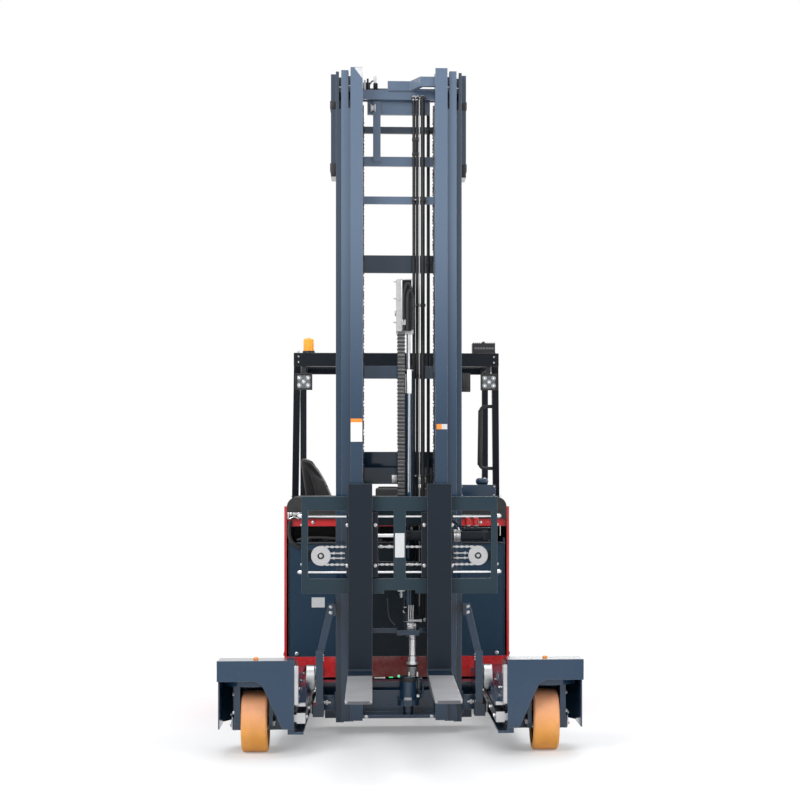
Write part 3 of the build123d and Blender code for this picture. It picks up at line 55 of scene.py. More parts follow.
# Places in millimetres: across, back from the load wheels' axle, height
LOAD_WHEEL_X, AXLE_Z = 710, 150
DISC_X, DISC_FACE_Y, DISC_Z = 400, 285, 943     # the two discs of the positioner chain
POSITIONER_Y, POSITIONER_Z = 330, 1043          # axis of the positioner's cylinder
BARREL_X, BARREL_Y = 50, 560                    # axis of the free-lift barrel
FOOT_X, PISTON_X = 49, 71                       # its foot and the piston below it
BEACON_X, BEACON_Y = -503, 1474.5
RAIL_FACE_Y = 479.3                             # front faces of the inner rails
REAR_BARS = ((1301, 1390), (2433, 2528))        # heights of the outer mast's two rear bars
EAR_X = 329.1                                   # where those bars are cut flush
CHAIN_PITCH = 19.05
LEVERS_X = (60, 115, 170)

# Pads of the seat, in metres
PAD_VOXEL, PAD_SWELL, PAD_FRAMES = 0.007, 0.024, 20
CHANNEL_DEPTH, CHANNEL_WIDTH, CHANNEL_FADE = 0.009, 0.005, 0.045

# The photograph's camera: pixels, metres and degrees
PHOTO_SIDE, FOCAL_LENGTH, SENSOR_WIDTH = 800, 1769, 36
CAMERA_X, CAMERA_Z, CAMERA_DISTANCE, CAMERA_TURN = -0.14, 1.43, 8.72, -3
LENS_SHIFT = (-0.081, 0.075)


# Settings

class TruckColours(bpy.types.PropertyGroup):
    slate: bpy.props.FloatVectorProperty(
        name="Slate paint", description="Paint of the mast and the legs",
        subtype="COLOR", size=3, default=(0.008, 0.034, 0.074))
    carriage: bpy.props.FloatVectorProperty(
        name="Carriage paint", description="Paint of the fork carriage",
        subtype="COLOR", size=3, default=(0.008, 0.025, 0.038))
    red: bpy.props.FloatVectorProperty(
        name="Red paint", description="Paint of the body panels",
        subtype="COLOR", size=3, default=(0.62, 0.012, 0.016))
    black: bpy.props.FloatVectorProperty(
        name="Black paint", description="Paint of the guard and the inner sheets",
        subtype="COLOR", size=3, default=(0.003, 0.006, 0.011))
    tread: bpy.props.FloatVectorProperty(
        name="Load tread", description="Moulded tread of the load wheels",
        subtype="COLOR", size=3, default=(0.72, 0.31, 0.045))
    steel: bpy.props.FloatVectorProperty(
        name="Bare fork steel", description="Bare steel of the fork blades",
        subtype="COLOR", size=3, default=(0.52, 0.52, 0.54))


# Shader expressions

class Wire:
    """A socket whose arithmetic adds nodes to its material."""

    def __init__(self, finish, socket):
        self.finish = finish
        self.socket = socket

    def _math(self, operation, *values):
        return self.finish.node("ShaderNodeMath", {"operation": operation}, *values)

    def __add__(self, other):
        return self._math("ADD", self, other)

    __radd__ = __add__

    def __sub__(self, other):
        return self._math("SUBTRACT", self, other)

    def __rsub__(self, other):
        return self._math("SUBTRACT", other, self)

    def __mul__(self, other):
        return self._math("MULTIPLY", self, other)

    __rmul__ = __mul__

    def __gt__(self, other):
        return self._math("GREATER_THAN", self, other)

    def __lt__(self, other):
        return self._math("LESS_THAN", self, other)

    def __pow__(self, other):
        return self._math("POWER", self, other)

    def __abs__(self):
        return self._math("ABSOLUTE", self)

    def fract(self):
        return self._math("FRACT", self)

    def at_least(self, other):
        return self._math("MAXIMUM", self, other)

    def at_most(self, other):
        return self._math("MINIMUM", self, other)

    def between(self, low, high, to_low=0.0, to_high=1.0):
        """Smooth step from low to high."""
        return self.finish.node("ShaderNodeMapRange", {"interpolation_type": "SMOOTHSTEP"},
                                self, low, high, to_low, to_high)


class Finish:
    """One procedural material, built from expressions."""

    def __init__(self, name, **constants):
        self.material = bpy.data.materials.new(name)
        self.material.use_nodes = True
        self.tree = self.material.node_tree
        self.tree.nodes.clear()
        self.output = self.tree.nodes.new("ShaderNodeOutputMaterial")
        self.shader = self.tree.nodes.new("ShaderNodeBsdfPrincipled")
        self.tree.links.new(self.shader.outputs[0], self.output.inputs[0])
        for socket, value in constants.items():
            self.shader.inputs[socket.replace("_", " ")].default_value = value
        coordinates = self.tree.nodes.new("ShaderNodeTexCoord")
        self.place = Wire(self, coordinates.outputs["Object"])
        parts = self.node("ShaderNodeSeparateXYZ", {}, self.place, every=True)
        self.x, self.y, self.z = parts

    def node(self, kind, settings, *values, every=False, stops=None, **named):
        """Adds a node, sets its settings, then its sockets; gives its first wire or all."""
        made = self.tree.nodes.new(kind)
        for setting, value in settings.items():
            setattr(made, setting, value)
        if stops:
            ramp = made.color_ramp
            while len(ramp.elements) < len(stops):
                ramp.elements.new(0.5)
            for element, (position, colour) in zip(ramp.elements, stops):
                element.position = position
                element.color = (*colour, 1.0)
        open_sockets = [s for s in made.inputs if s.enabled]
        pairs = list(zip(open_sockets, values))
        pairs += [(made.inputs[name.replace("_", " ")], value) for name, value in named.items()]
        for socket, value in pairs:
            if isinstance(value, Wire):
                self.tree.links.new(value.socket, socket)
            elif value is not None:
                socket.default_value = value
        wires = [Wire(self, s) for s in made.outputs if s.enabled]
        return wires if every else wires[0]

    def stretched(self, x=1.0, y=1.0, z=1.0):
        """Object coordinates scaled along each axis."""
        return self.node("ShaderNodeMapping", {}, self.place, Scale=(x, y, z))

    def noise(self, scale, detail=3.0, rough=0.55, along=None):
        place = along or self.place
        return self.node("ShaderNodeTexNoise", {}, place, Scale=scale, Detail=detail,
                         Roughness=rough)

    def cells(self, scale):
        return self.node("ShaderNodeTexVoronoi", {"feature": "F1"}, self.place, Scale=scale)

    def blend(self, factor, first, second):
        """Colour mix; numbers are given as colours of three."""
        values = [factor] + [v if isinstance(v, Wire) else (*v, 1.0) for v in (first, second)]
        return self.node("ShaderNodeMix", {"data_type": "RGBA"}, *values)

    def slope(self):
        """How far a surface faces up, from -1 to 1."""
        geometry = self.tree.nodes.new("ShaderNodeNewGeometry")
        return self.node("ShaderNodeSeparateXYZ", {}, Wire(self, geometry.outputs["Normal"]),
                         every=True)[2]

    def edges(self, radius):
        """Zero on flat faces and up to one along sharp edges, with the rounded normal."""
        rounded = self.node("ShaderNodeBevel", {"samples": 4}, radius)
        geometry = self.tree.nodes.new("ShaderNodeNewGeometry")
        flat = Wire(self, geometry.outputs["True Normal"])
        match = self.node("ShaderNodeVectorMath", {"operation": "DOT_PRODUCT"}, rounded, flat,
                          every=True)[-1]
        return (1.0 - match).between(0.01, 0.16), rounded

    def feed(self, socket, wire):
        self.tree.links.new(wire.socket, self.shader.inputs[socket])

    def colour(self, wire):
        self.feed("Base Color", wire)

    def roughness(self, wire):
        self.feed("Roughness", wire)

    def metal(self, wire):
        self.feed("Metallic", wire)

    def glow(self, wire):
        self.feed("Emission Color", wire)

    def bump(self, height, strength, distance, normal=None):
        bumped = self.node("ShaderNodeBump", {}, Strength=strength, Distance=distance,
                           Height=height, Normal=normal)
        self.feed("Normal", bumped)


# Finishes

def scaled(colour, factor):
    """A lighter or darker colour."""
    return tuple(min(1.0, c * factor) for c in colour)


def painted(name, colour, roughness=0.38, chips=0.5, dust=0.35, peel=0.35, coat=0.0,
            shine=0.5, high=None, middle=None):
    """Sprayed paint with orange peel, dust, rubbed edges and a few chips.

    high is the paler colour that the paint reaches at the top of the mast, a painted highlight for
    the stronger light up there, and middle the darker one behind the mast, a painted shade."""
    f = Finish(name, Specular_IOR_Level=shine, Coat_Weight=coat, Coat_Roughness=0.12)
    edge, rounded = f.edges(0.003)
    patches = f.noise(2.3, 4.0)
    fine = f.noise(38.0, 5.0, 0.7)
    low = (1.3 - f.z).between(-0.6, 1.4)
    worn = ((edge * 1.3 + fine * 0.9 - 1.42 + chips * 0.35) * 6.0).between(0.0, 1.0)
    speck = (f.noise(95.0, 2.0, 0.6)).between(0.735 - chips * 0.03, 0.76) * chips
    dusty = (patches * 0.9 + fine * 0.35 - 0.42).between(0.0, 0.55) * dust * (low * 0.7 + 0.3)
    up = f.slope().between(0.4, 1.0)
    dusty = (dusty + up * fine * dust * 0.28).at_most(1.0)
    shade = f.blend((patches - 0.5) * 0.35 + 0.5, scaled(colour, 0.82), scaled(colour, 1.2))
    # painted light: the paint turns paler with height, towards high
    if high:
        shade = f.blend(f.z.between(1.5, 2.8), shade, high)
    # painted shade: darker in the middle, low down behind the mast
    if middle:
        painted_shade_behind_mast = (0.345 - abs(f.x)).between(-0.012, 0.012) * (f.y < 0.47)
        shade = f.blend(painted_shade_behind_mast, shade, middle)
    base = f.blend(dusty, shade, (0.24, 0.22, 0.19))
    base = f.blend((worn * 0.8 + speck * 0.55).at_most(1.0), base, (0.30, 0.30, 0.31))
    f.colour(base)
    f.metal(worn * 0.6)
    f.roughness((fine - 0.5) * 0.12 + dusty * 0.35 + roughness + worn * 0.06)
    f.bump(f.noise(420.0, 2.0) * peel + fine * 0.18 - worn * 0.5, 0.18, 0.0012, rounded)
    return f.material


def panel_paint(name, outside, inside):
    """Gloss paint on the outer faces of the body, black on the inner ones."""
    f = Finish(name, Specular_IOR_Level=0.5, Coat_Roughness=0.1)
    edge, rounded = f.edges(0.003)
    side = abs(f.x)
    back = f.y
    wall = (side > 0.6295).at_least(back > 1.671)
    corner = ((side - 0.511) ** 2.0 + (back - 1.5525) ** 2.0 > 0.0142) * (side > 0.511)
    outer = wall.at_least(corner * (back > 1.5525))
    up = f.slope()
    outer = outer.at_least((up > 0.9) * (f.z > 1.1)).at_least(back < 0.4535)
    fine = f.noise(34.0, 5.0, 0.7)
    patches = f.noise(1.9, 4.0)
    grime = ((0.62 - f.z).between(0.0, 0.6) * fine * 1.5 + patches - 0.85).between(0.0, 0.6)
    red = f.blend(patches, scaled(outside, 0.9), scaled(outside, 1.1))
    # painted shade: the red darkens behind the mast, where its shadow falls
    behind = (0.345 - side).between(-0.012, 0.012) * (back < 0.47)
    red = f.blend(behind * 0.8, red, (0.020, 0.006, 0.010))
    red = f.blend(grime * 0.4, red, (0.20, 0.13, 0.10))
    chips = (edge * 1.1 + fine).between(1.28, 1.45)
    red = f.blend(chips * 0.7, red, (0.24, 0.22, 0.21))
    f.colour(f.blend(outer, f.blend(fine, inside, scaled(inside, 1.6)), red))
    f.roughness(0.42 - outer * 0.17 + grime * 0.3 + (fine - 0.5) * 0.08)
    f.feed("Coat Weight", outer * 0.5)
    f.bump(f.noise(300.0, 2.0) * 0.3 + fine * 0.1 - chips * 0.4, 0.14, 0.001, rounded)
    return f.material


def moulded_plastic(name, colour, roughness=0.55, grain=900.0):
    """Grained plastic with rubbed high spots and dust."""
    f = Finish(name, Specular_IOR_Level=0.45)
    edge, rounded = f.edges(0.004)
    grains = f.cells(grain)
    smear = f.noise(5.0, 5.0, 0.6)
    up = f.slope().between(0.3, 1.0)
    dusty = (smear.between(0.45, 0.75) * 0.35 + up * 0.22).at_most(1.0)
    base = f.blend(dusty * 0.35, colour, (0.20, 0.19, 0.17))
    base = f.blend(edge * 0.25, base, tuple(min(1.0, c * 3 + 0.02) for c in colour))
    f.colour(base)
    f.roughness(roughness + (smear - 0.5) * 0.22 + dusty * 0.18)
    f.bump(grains, 0.22, 0.0006, rounded)
    return f.material


def ground_steel(name, colour=(0.56, 0.56, 0.57), roughness=0.30, lay=(1.0, 1.0, 60.0),
                 dirt=0.25):
    """Machined or drawn steel with its grain along one axis."""
    f = Finish(name)
    edge, rounded = f.edges(0.0015)
    grain = f.noise(9.0, 6.0, 0.65, f.stretched(*lay))
    smear = f.noise(7.0, 4.0, 0.6)
    grime = smear.between(0.5, 0.8) * dirt
    base = f.blend(grain, scaled(colour, 0.75), scaled(colour, 1.2))
    base = f.blend(grime, base, (0.05, 0.042, 0.035))
    f.colour(base)
    f.metal(1.0 - grime * 0.7)
    f.roughness(roughness + (grain - 0.5) * 0.25 + grime * 0.35 - edge * 0.05)
    f.bump(grain, 0.10, 0.0008, rounded)
    return f.material


def polished_rod(name):
    """Hard chrome with a faint oil film and fine rings."""
    f = Finish(name, Metallic=1.0)
    film = f.noise(6.0, 4.0, 0.6)
    rings = f.noise(30.0, 3.0, 0.6, f.stretched(8.0, 8.0, 8.0))
    f.colour(f.blend(film.between(0.45, 0.8), (0.80, 0.81, 0.83), (0.60, 0.60, 0.60)))
    f.roughness(film * 0.12 + rings * 0.05 + 0.04)
    f.bump(rings, 0.03, 0.0004)
    return f.material


def fork_steel(name, bare, paint):
    """Blade ground bright beyond the first hand's width from the heel, painted elsewhere."""
    f = Finish(name, Specular_IOR_Level=0.3)
    edge, rounded = f.edges(0.003)
    across = f.noise(4.0, 6.0, 0.7, f.stretched(1.2, 34.0, 3.0))
    along = f.noise(3.2, 6.0, 0.7, f.stretched(26.0, 1.2, 3.0))
    blotch = f.noise(8.0, 5.0, 0.62)
    start = (f.y + (blotch - 0.5) * 0.012).between(-0.752, -0.742)
    sides = (f.z + (along - 0.5) * 0.01).between(0.352, 0.360)
    tip = (f.y + (blotch - 0.5) * 0.01).between(-1.660, -1.668)
    coat = start.at_least((1.0 - sides) * 0.85).at_least(tip * 0.8)
    smear = (blotch * 0.8 + along * 0.4).between(0.62, 0.9)
    steel = f.blend(across.between(0.3, 0.7), scaled(bare, 0.80), scaled(bare, 1.22))
    steel = f.blend(smear * 0.35, steel, (0.20, 0.16, 0.13))
    chips = (edge * 1.2 + along * 0.9).between(1.2, 1.5)
    heel = (f.z < 0.372) * (f.y > -0.76)
    cover = f.blend(blotch, scaled(paint, 0.85), scaled(paint, 1.15))
    cover = f.blend(heel * 0.8, cover, scaled(paint, 2.0))
    cover = f.blend(chips * 0.7, cover, (0.30, 0.30, 0.31))
    f.colour(f.blend(coat, steel, cover))
    f.metal((1.0 - coat) * (1.0 - smear * 0.4) * 0.75)
    f.roughness(0.40 + (across - 0.5) * 0.25 + smear * 0.15)
    f.bump(across * 0.7 + along * 0.3, 0.12, 0.001, rounded)
    return f.material


def moulded_tread(name, colour, scuffed=0.5, upper=None):
    """Cast polyurethane: a warm see-into colour with scuffs and floor dirt; upper makes it paler
    above, a painted reflection of the light on top.
    """
    f = Finish(name, Specular_IOR_Level=0.5, Subsurface_Weight=0.12, Subsurface_Scale=0.02)
    blotch = f.noise(9.0, 4.0, 0.6)
    scuff = f.noise(26.0, 6.0, 0.72)
    pits = f.cells(140.0)
    dirt = (scuff * 0.8 + blotch * 0.5).between(0.62, 0.95) * scuffed
    base = f.blend(blotch.between(0.3, 0.7), scaled(colour, 0.86), scaled(colour, 1.08))
    # painted reflection: the tread turns paler towards its top
    if upper:
        base = f.blend(f.z.between(0.06, 0.26), base, upper)
    base = f.blend(dirt, base, (0.32, 0.22, 0.14))
    f.colour(base)
    f.roughness(0.42 + scuff * 0.22 + dirt * 0.2)
    f.bump(scuff * 0.6 + pits * 0.2, 0.14, 0.0015)
    return f.material


def cast_metal(name, colour):
    f = Finish(name, Metallic=0.35, Specular_IOR_Level=0.5)
    edge, rounded = f.edges(0.002)
    sand = f.cells(420.0)
    patches = f.noise(14.0, 5.0, 0.65)
    oily = patches.between(0.5, 0.75)
    f.colour(f.blend(oily * 0.7, f.blend(edge * 0.6, colour, (0.35, 0.35, 0.35)),
                     (0.02, 0.018, 0.015)))
    f.roughness(0.62 - oily * 0.25)
    f.bump(sand * 0.7 + patches * 0.4, 0.3, 0.001, rounded)
    return f.material


def rubber(name, colour=(0.016, 0.016, 0.017), ribs=0.0):
    f = Finish(name, Specular_IOR_Level=0.4)
    bloom = f.noise(12.0, 5.0, 0.65)
    skin = f.noise(260.0, 3.0, 0.6)
    f.colour(f.blend(bloom.between(0.45, 0.8) * 0.5, colour, (0.075, 0.072, 0.068)))
    f.roughness(0.5 + bloom * 0.2)
    height = skin * 0.4
    if ribs:
        height = height + (f.z * ribs).fract().between(0.2, 0.8) * 0.6
    f.bump(height, 0.25, 0.0008)
    return f.material


def amber_lens(name):
    f = Finish(name, Roughness=0.08, IOR=1.49, Coat_Weight=0.3)
    ribs = (f.z * 110.0).fract().between(0.15, 0.85)
    cloud = f.noise(30.0, 3.0)
    f.colour(f.blend(cloud, (0.95, 0.28, 0.01), (1.0, 0.47, 0.03)))
    f.glow(f.blend(ribs, (0.80, 0.20, 0.0), (1.0, 0.42, 0.03)))
    f.shader.inputs["Emission Strength"].default_value = 0.28
    f.bump(ribs, 0.5, 0.0015)
    return f.material


def woven_cover(name, colour=(0.018, 0.018, 0.02)):
    """Seat cloth with a tight weave and rubbed crowns."""
    f = Finish(name, Specular_IOR_Level=0.25, Sheen_Weight=0.25, Sheen_Roughness=0.5)
    warp = (f.x * 420.0 + f.z * 420.0).fract().between(0.1, 0.9)
    weft = (f.y * 420.0).fract().between(0.1, 0.9)
    rubbed = f.noise(7.0, 4.0).between(0.45, 0.75)
    f.colour(f.blend(rubbed * 0.5, f.blend(warp * weft, scaled(colour, 0.6), colour),
                     (0.06, 0.058, 0.056)))
    f.roughness(0.78 + rubbed * 0.1)
    f.bump(warp * weft, 0.35, 0.0006)
    return f.material


def oiled_chain(name, colour=(0.005, 0.005, 0.006)):
    """Black oiled leaf chain with the edges of its plates and a rubbed running face."""
    f = Finish(name, Specular_IOR_Level=0.7)
    grease = f.noise(34.0, 4.0, 0.7)
    wet = grease.between(0.4, 0.65)
    across = (f.x * 250.0).fract()
    plates = across.between(0.0, 0.45) * (1.0 - across.between(0.7, 1.0))
    links = (f.z * 52.5).fract().between(0.62, 0.95)
    rubbed = plates * links * (1.0 - wet * 0.6)
    f.colour(f.blend(rubbed * 0.7, colour, (0.30, 0.30, 0.31)))
    f.metal(rubbed * 0.8)
    f.roughness(0.34 + (grease - 0.5) * 0.3)
    f.bump(plates * 0.8 - links * 0.5 + grease * 0.2, 0.5, 0.0015)
    return f.material


def blank_film(name, colour, band=None, at=0.0):
    """Printed film of a label with nothing on it: satin, slightly soiled towards its edges."""
    f = Finish(name, Specular_IOR_Level=0.5)
    soil = f.noise(60.0, 4.0, 0.7)
    base = f.blend(soil.between(0.5, 0.85) * 0.3, colour, (0.30, 0.28, 0.25))
    if band:
        base = f.blend(f.z > at, base, band)
    f.colour(base)
    f.roughness(0.32 + soil * 0.15)
    f.bump(f.noise(180.0, 2.0), 0.06, 0.0004)
    return f.material


def gloss_cap(name, colour):
    """Injection-moulded cap with a fine sheen and rubbed rim."""
    f = Finish(name, Coat_Weight=0.25, Coat_Roughness=0.15)
    edge, rounded = f.edges(0.001)
    cloud = f.noise(40.0, 3.0)
    f.colour(f.blend(cloud, scaled(colour, 0.85), scaled(colour, 1.1)))
    f.roughness(0.3 + cloud * 0.15 - edge * 0.05)
    f.bump(cloud, 0.08, 0.0005, rounded)
    return f.material


def lamp_glass(name, colour, strength):
    """Clear cover over a bright reflector with its prisms."""
    f = Finish(name, IOR=1.5, Coat_Weight=0.6, Coat_Roughness=0.04)
    prisms = (f.x * 260.0).fract().between(0.1, 0.9) * (f.z * 260.0).fract().between(0.1, 0.9)
    cloud = f.noise(30.0, 3.0)
    f.colour(f.blend(prisms, scaled(colour, 0.7), colour))
    f.glow(f.blend(prisms, scaled(colour, 0.6), colour))
    f.shader.inputs["Emission Strength"].default_value = strength
    f.roughness(0.08 + cloud * 0.1)
    f.bump(prisms, 0.3, 0.001)
    return f.material


def dark_screen(name):
    """Display glass: black, with a faint even glow behind blank fields."""
    f = Finish(name, Coat_Weight=1.0, Coat_Roughness=0.03)
    fields = (f.x * 42.0).fract().between(0.06, 0.08) * (f.z * 60.0).fract().between(0.08, 0.10)
    smear = f.noise(22.0, 4.0, 0.6)
    f.colour(f.blend(fields, (0.004, 0.005, 0.006), (0.02, 0.03, 0.036)))
    f.roughness(0.08 + smear * 0.12)
    f.bump(smear, 0.02, 0.0004)
    return f.material


def ribbed_mat(name, colour=(0.02, 0.02, 0.021)):
    """Floor mat with raised ribs and walked-in dust."""
    f = Finish(name, Specular_IOR_Level=0.35)
    ribs = (f.x * 66.0).fract().between(0.1, 0.45) * (1.0 - (f.x * 66.0).fract().between(0.55, 0.9))
    dust = f.noise(9.0, 5.0, 0.65).between(0.4, 0.75)
    f.colour(f.blend(dust * (1.0 - ribs * 0.5) * 0.5, colour, (0.16, 0.15, 0.13)))
    f.roughness(0.62 + dust * 0.2)
    f.bump(ribs, 0.6, 0.002)
    return f.material


finishes = {}


def make_finishes():
    colours = bpy.context.scene.truck_colours
    slate, black = tuple(colours.slate), tuple(colours.black)
    bare = tuple(colours.steel)
    finishes.update({
        # painted light: high makes the mast paler towards its top; Shaded slate is a darker copy,
        # painted shade for the outer rails
        "slate_paint": painted("Slate paint", slate, 0.32, 0.35, 0.05, coat=1.0, shine=0.08,
                               high=(0.095, 0.140, 0.210)),
        "shaded_slate": painted("Shaded slate", slate, 0.34, 0.35, 0.05, coat=0.9, shine=0.08,
                                high=(0.036, 0.058, 0.090)),
        "bar_slate": painted("Bar slate", slate, 0.34, 0.35, 0.05, coat=0.9, shine=0.08),
        "silver_sleeve": ground_steel("Silver sleeve", (0.86, 0.87, 0.88), 0.5),
        "lamp_bowl": lamp_glass("Lamp bowl", (0.13, 0.14, 0.14), 0.02),
        "dark_pin": ground_steel("Dark pin", (0.035, 0.035, 0.036), 0.5),
        "green_lamp": lamp_glass("Green lamp", (0.03, 0.75, 0.20), 1.0),
        "carriage_paint": painted("Carriage paint", tuple(colours.carriage), 0.42, 0.5, 0.06,
                                  shine=0.3),
        "red_paint": panel_paint("Red paint", tuple(colours.red), (0.010, 0.010, 0.012)),
        "black_paint": painted("Black paint", black, 0.36, 0.3, 0.03, shine=0.2),
        "black_plastic": moulded_plastic("Black plastic", (0.014, 0.014, 0.016)),
        # painted shade: middle darkens the battery behind the mast
        "battery_grey": painted("Battery grey", (0.006, 0.030, 0.062), 0.42, 0.5, 0.05,
                                shine=0.3, middle=(0.001, 0.006, 0.011)),
        "worn_steel": fork_steel("Fork steel", bare, (0.001, 0.006, 0.014)),
        "bright_steel": ground_steel("Ground steel"),
        "chain_steel": oiled_chain("Oiled chain"),
        "chrome": polished_rod("Chrome rod"),
        "cast_grey": cast_metal("Cast hub", (0.06, 0.06, 0.065)),
        # painted reflection: the last colour is the paler top of the tread
        "load_tread": moulded_tread("Load tread", tuple(colours.tread), 0.4, (0.78, 0.355, 0.18)),
        "drive_tread": moulded_tread("Drive tread", (0.42, 0.17, 0.06), 0.8),
        "black_rubber": rubber("Hose rubber"),
        "seat_fabric": woven_cover("Seat cover"),
        "amber": amber_lens("Amber lens"),
        "red_bar": painted("Red bar", tuple(colours.red), 0.3, 0.3, 0.15),
        "label": blank_film("Blank label", (0.60, 0.61, 0.62)),
        "banded_label": blank_film("Banded label", (0.82, 0.82, 0.80), (0.85, 0.26, 0.03), 1.6255),
        "orange_label": blank_film("Orange label", (0.86, 0.27, 0.03)),
        "red_cap": gloss_cap("Red cap", (0.62, 0.015, 0.012)),
        "black_cap": gloss_cap("Black cap", (0.010, 0.010, 0.011)),
        "tail_lens": lamp_glass("Tail lamp", (0.62, 0.012, 0.010), 0.15),
        "led": lamp_glass("Lit diode", (0.92, 0.95, 1.0), 0.9),
        "reflector": lamp_glass("Lamp reflector", (0.42, 0.44, 0.47), 0.12),
        "screen": dark_screen("Display glass"),
        "mat": ribbed_mat("Floor mat"),
    })


# Shapes

def only(*objects):
    """Selects these objects alone, the last one active."""
    bpy.ops.object.select_all(action="DESELECT")
    for item in objects:
        item.select_set(True)
    bpy.context.view_layer.objects.active = objects[-1]
    return objects[-1]


def place(x, y, z):
    """A point in metres from across, back-from-the-load-axle and height in millimetres."""
    return Vector((x / 1000, y / 1000 - SHIFT, z / 1000))


def edited(piece):
    """Goes into edit mode on one piece with everything selected."""
    only(piece)
    bpy.ops.object.mode_set(mode="EDIT")
    bpy.ops.mesh.select_all(action="SELECT")


def facing_out(piece):
    """Turns every face of a piece outwards."""
    edited(piece)
    bpy.ops.mesh.normals_make_consistent(inside=False)
    bpy.ops.object.mode_set(mode="OBJECT")
    return piece


def thickened(sheet, thickness):
    """Gives a sheet its thickness in millimetres, half to each side."""
    only(sheet)
    shell = sheet.modifiers.new("shell", "SOLIDIFY")
    shell.thickness = thickness / 1000
    shell.offset = 0
    bpy.ops.object.modifier_apply(modifier=shell.name)
    return facing_out(sheet)


def settled(piece):
    """Puts a piece's place, turn and scale into its mesh."""
    only(piece)
    bpy.ops.object.transform_apply(location=True, rotation=True, scale=True)
    return piece


def rounded_edges(piece, width, segments=2):
    """Bevels every edge of a piece by a width in millimetres."""
    edited(piece)
    bpy.ops.mesh.bevel(offset=width / 1000, segments=segments, affect="EDGES")
    bpy.ops.object.mode_set(mode="OBJECT")
    return piece


def block(x0, x1, y0, y1, z0, z1, edge=1.0, segments=2):
    """A bar or plate between two corners, in millimetres, with rounded edges."""
    bpy.ops.object.select_all(action="DESELECT")
    low, high = place(x0, y0, z0), place(x1, y1, z1)
    bpy.ops.mesh.primitive_cube_add(size=1, location=(low + high) / 2)
    piece = bpy.context.object
    piece.scale = high - low
    settled(piece)
    return rounded_edges(piece, edge, segments) if edge else piece


AIMS = {"+X": (0, 90, 0), "-X": (0, -90, 0), "+Y": (-90, 0, 0), "-Y": (90, 0, 0),
        "+Z": (0, 0, 0), "-Z": (180, 0, 0)}


def turned(at, aim, profile, sides=24):
    """A turned piece standing on a point and pointing along an axis.

    The profile gives a distance along the axis and a radius at each step, in millimetres."""
    bpy.ops.object.select_all(action="DESELECT")
    first = profile[0]
    bpy.ops.mesh.primitive_circle_add(vertices=sides, radius=first[1] / 1000, fill_type="NGON",
                                      location=(0, 0, first[0] / 1000))
    piece = bpy.context.object
    bpy.ops.object.transform_apply(location=True)
    bpy.ops.object.mode_set(mode="EDIT")
    bpy.ops.mesh.select_all(action="SELECT")
    before = first
    for distance, radius in profile[1:]:
        rise = (distance - before[0]) / 1000
        bpy.ops.mesh.extrude_region_move(TRANSFORM_OT_translate={"value": (0, 0, rise)})
        grow = radius / before[1]
        if abs(grow - 1) > 1e-6:
            bpy.ops.transform.resize(value=(grow, grow, 1), center_override=(0, 0, distance / 1000))
        before = (distance, radius)
    bpy.ops.mesh.select_all(action="SELECT")
    bpy.ops.mesh.normals_make_consistent(inside=False)
    bpy.ops.object.mode_set(mode="OBJECT")
    piece.rotation_euler = [math.radians(a) for a in AIMS[aim]]
    piece.location = place(*at)
    return settled(piece)


def hoop(at, aim, radius, wire):
    """A round ring of wire about a place, its axis along +X or +Z."""
    turn = (0, math.pi / 2, 0) if aim == "+X" else (0, 0, 0)
    bpy.ops.object.select_all(action="DESELECT")
    bpy.ops.mesh.primitive_torus_add(location=place(*at), rotation=turn, major_segments=36,
                                     minor_segments=8, major_radius=radius / 1000,
                                     minor_radius=wire / 1000)
    return settled(bpy.context.object)


def joined(pieces):
    only(*pieces)
    if len(pieces) > 1:
        bpy.ops.object.join()
    return bpy.context.object


def copied(piece, across=0, back=0, up=0):
    """A copy with its own mesh, moved by millimetres."""
    only(piece)
    bpy.ops.object.duplicate(linked=False)
    twin = bpy.context.object
    twin.location = (across / 1000, back / 1000, up / 1000)
    return settled(twin)


def other_side(piece):
    """The mirror image of a piece on the other side of the truck."""
    only(piece)
    bpy.ops.object.duplicate(linked=False)
    twin = bpy.context.object
    twin.scale = (-1, 1, 1)
    return facing_out(settled(twin))


def both(pieces):
    """These pieces and their mirror images."""
    return pieces + [other_side(p) for p in pieces]


def aim_x(side):
    """The X direction away from the truck's middle on one side."""
    return "+X" if side > 0 else "-X"


def span(side, near, far):
    """Two distances from the middle on one side, the lower first."""
    return sorted((side * near, side * far))


def bolt(at, aim, across_flats, washer=True):
    """A hexagon head on its washer, seated on a face."""
    r = across_flats * 0.577
    lift = across_flats * 0.12 if washer else 0
    head = [turned(at, aim, [(lift, r), (lift + across_flats * 0.55, r),
                             (lift + across_flats * 0.64, r * 0.86)], 6)]
    if washer:
        head.append(turned(at, aim, [(0, r * 1.32), (lift * 0.7, r * 1.32), (lift, r * 1.24)], 16))
    return joined(head)


def bolt_circle(x, radius, count, aim, across_flats, washer=True):
    """Bolts round the load wheel's axle, the first one on top."""
    angles = [math.radians(90 + 360 / count * turn) for turn in range(count)]
    return [bolt((x, radius * math.cos(a), AXLE_Z + radius * math.sin(a)), aim, across_flats,
                 washer) for a in angles]


def socket_screw(at, aim, radius):
    """A cap screw with its round socket."""
    return turned(at, aim, [(0, radius), (radius * 0.9, radius), (radius, radius * 0.9),
                            (radius, radius * 0.5), (radius * 0.45, radius * 0.48)], 16)


def screws(make, size, table, *more):
    """One screw for each row of a table of place and aim, modelled once for each aim."""
    made, first = [], {}
    for x, y, z, aim in table:
        if aim in first:
            origin, model = first[aim]
            made.append(copied(model, x - origin[0], y - origin[1], z - origin[2]))
        else:
            model = make((x, y, z), aim, size, *more)
            first[aim] = ((x, y, z), model)
            made.append(model)
    return made


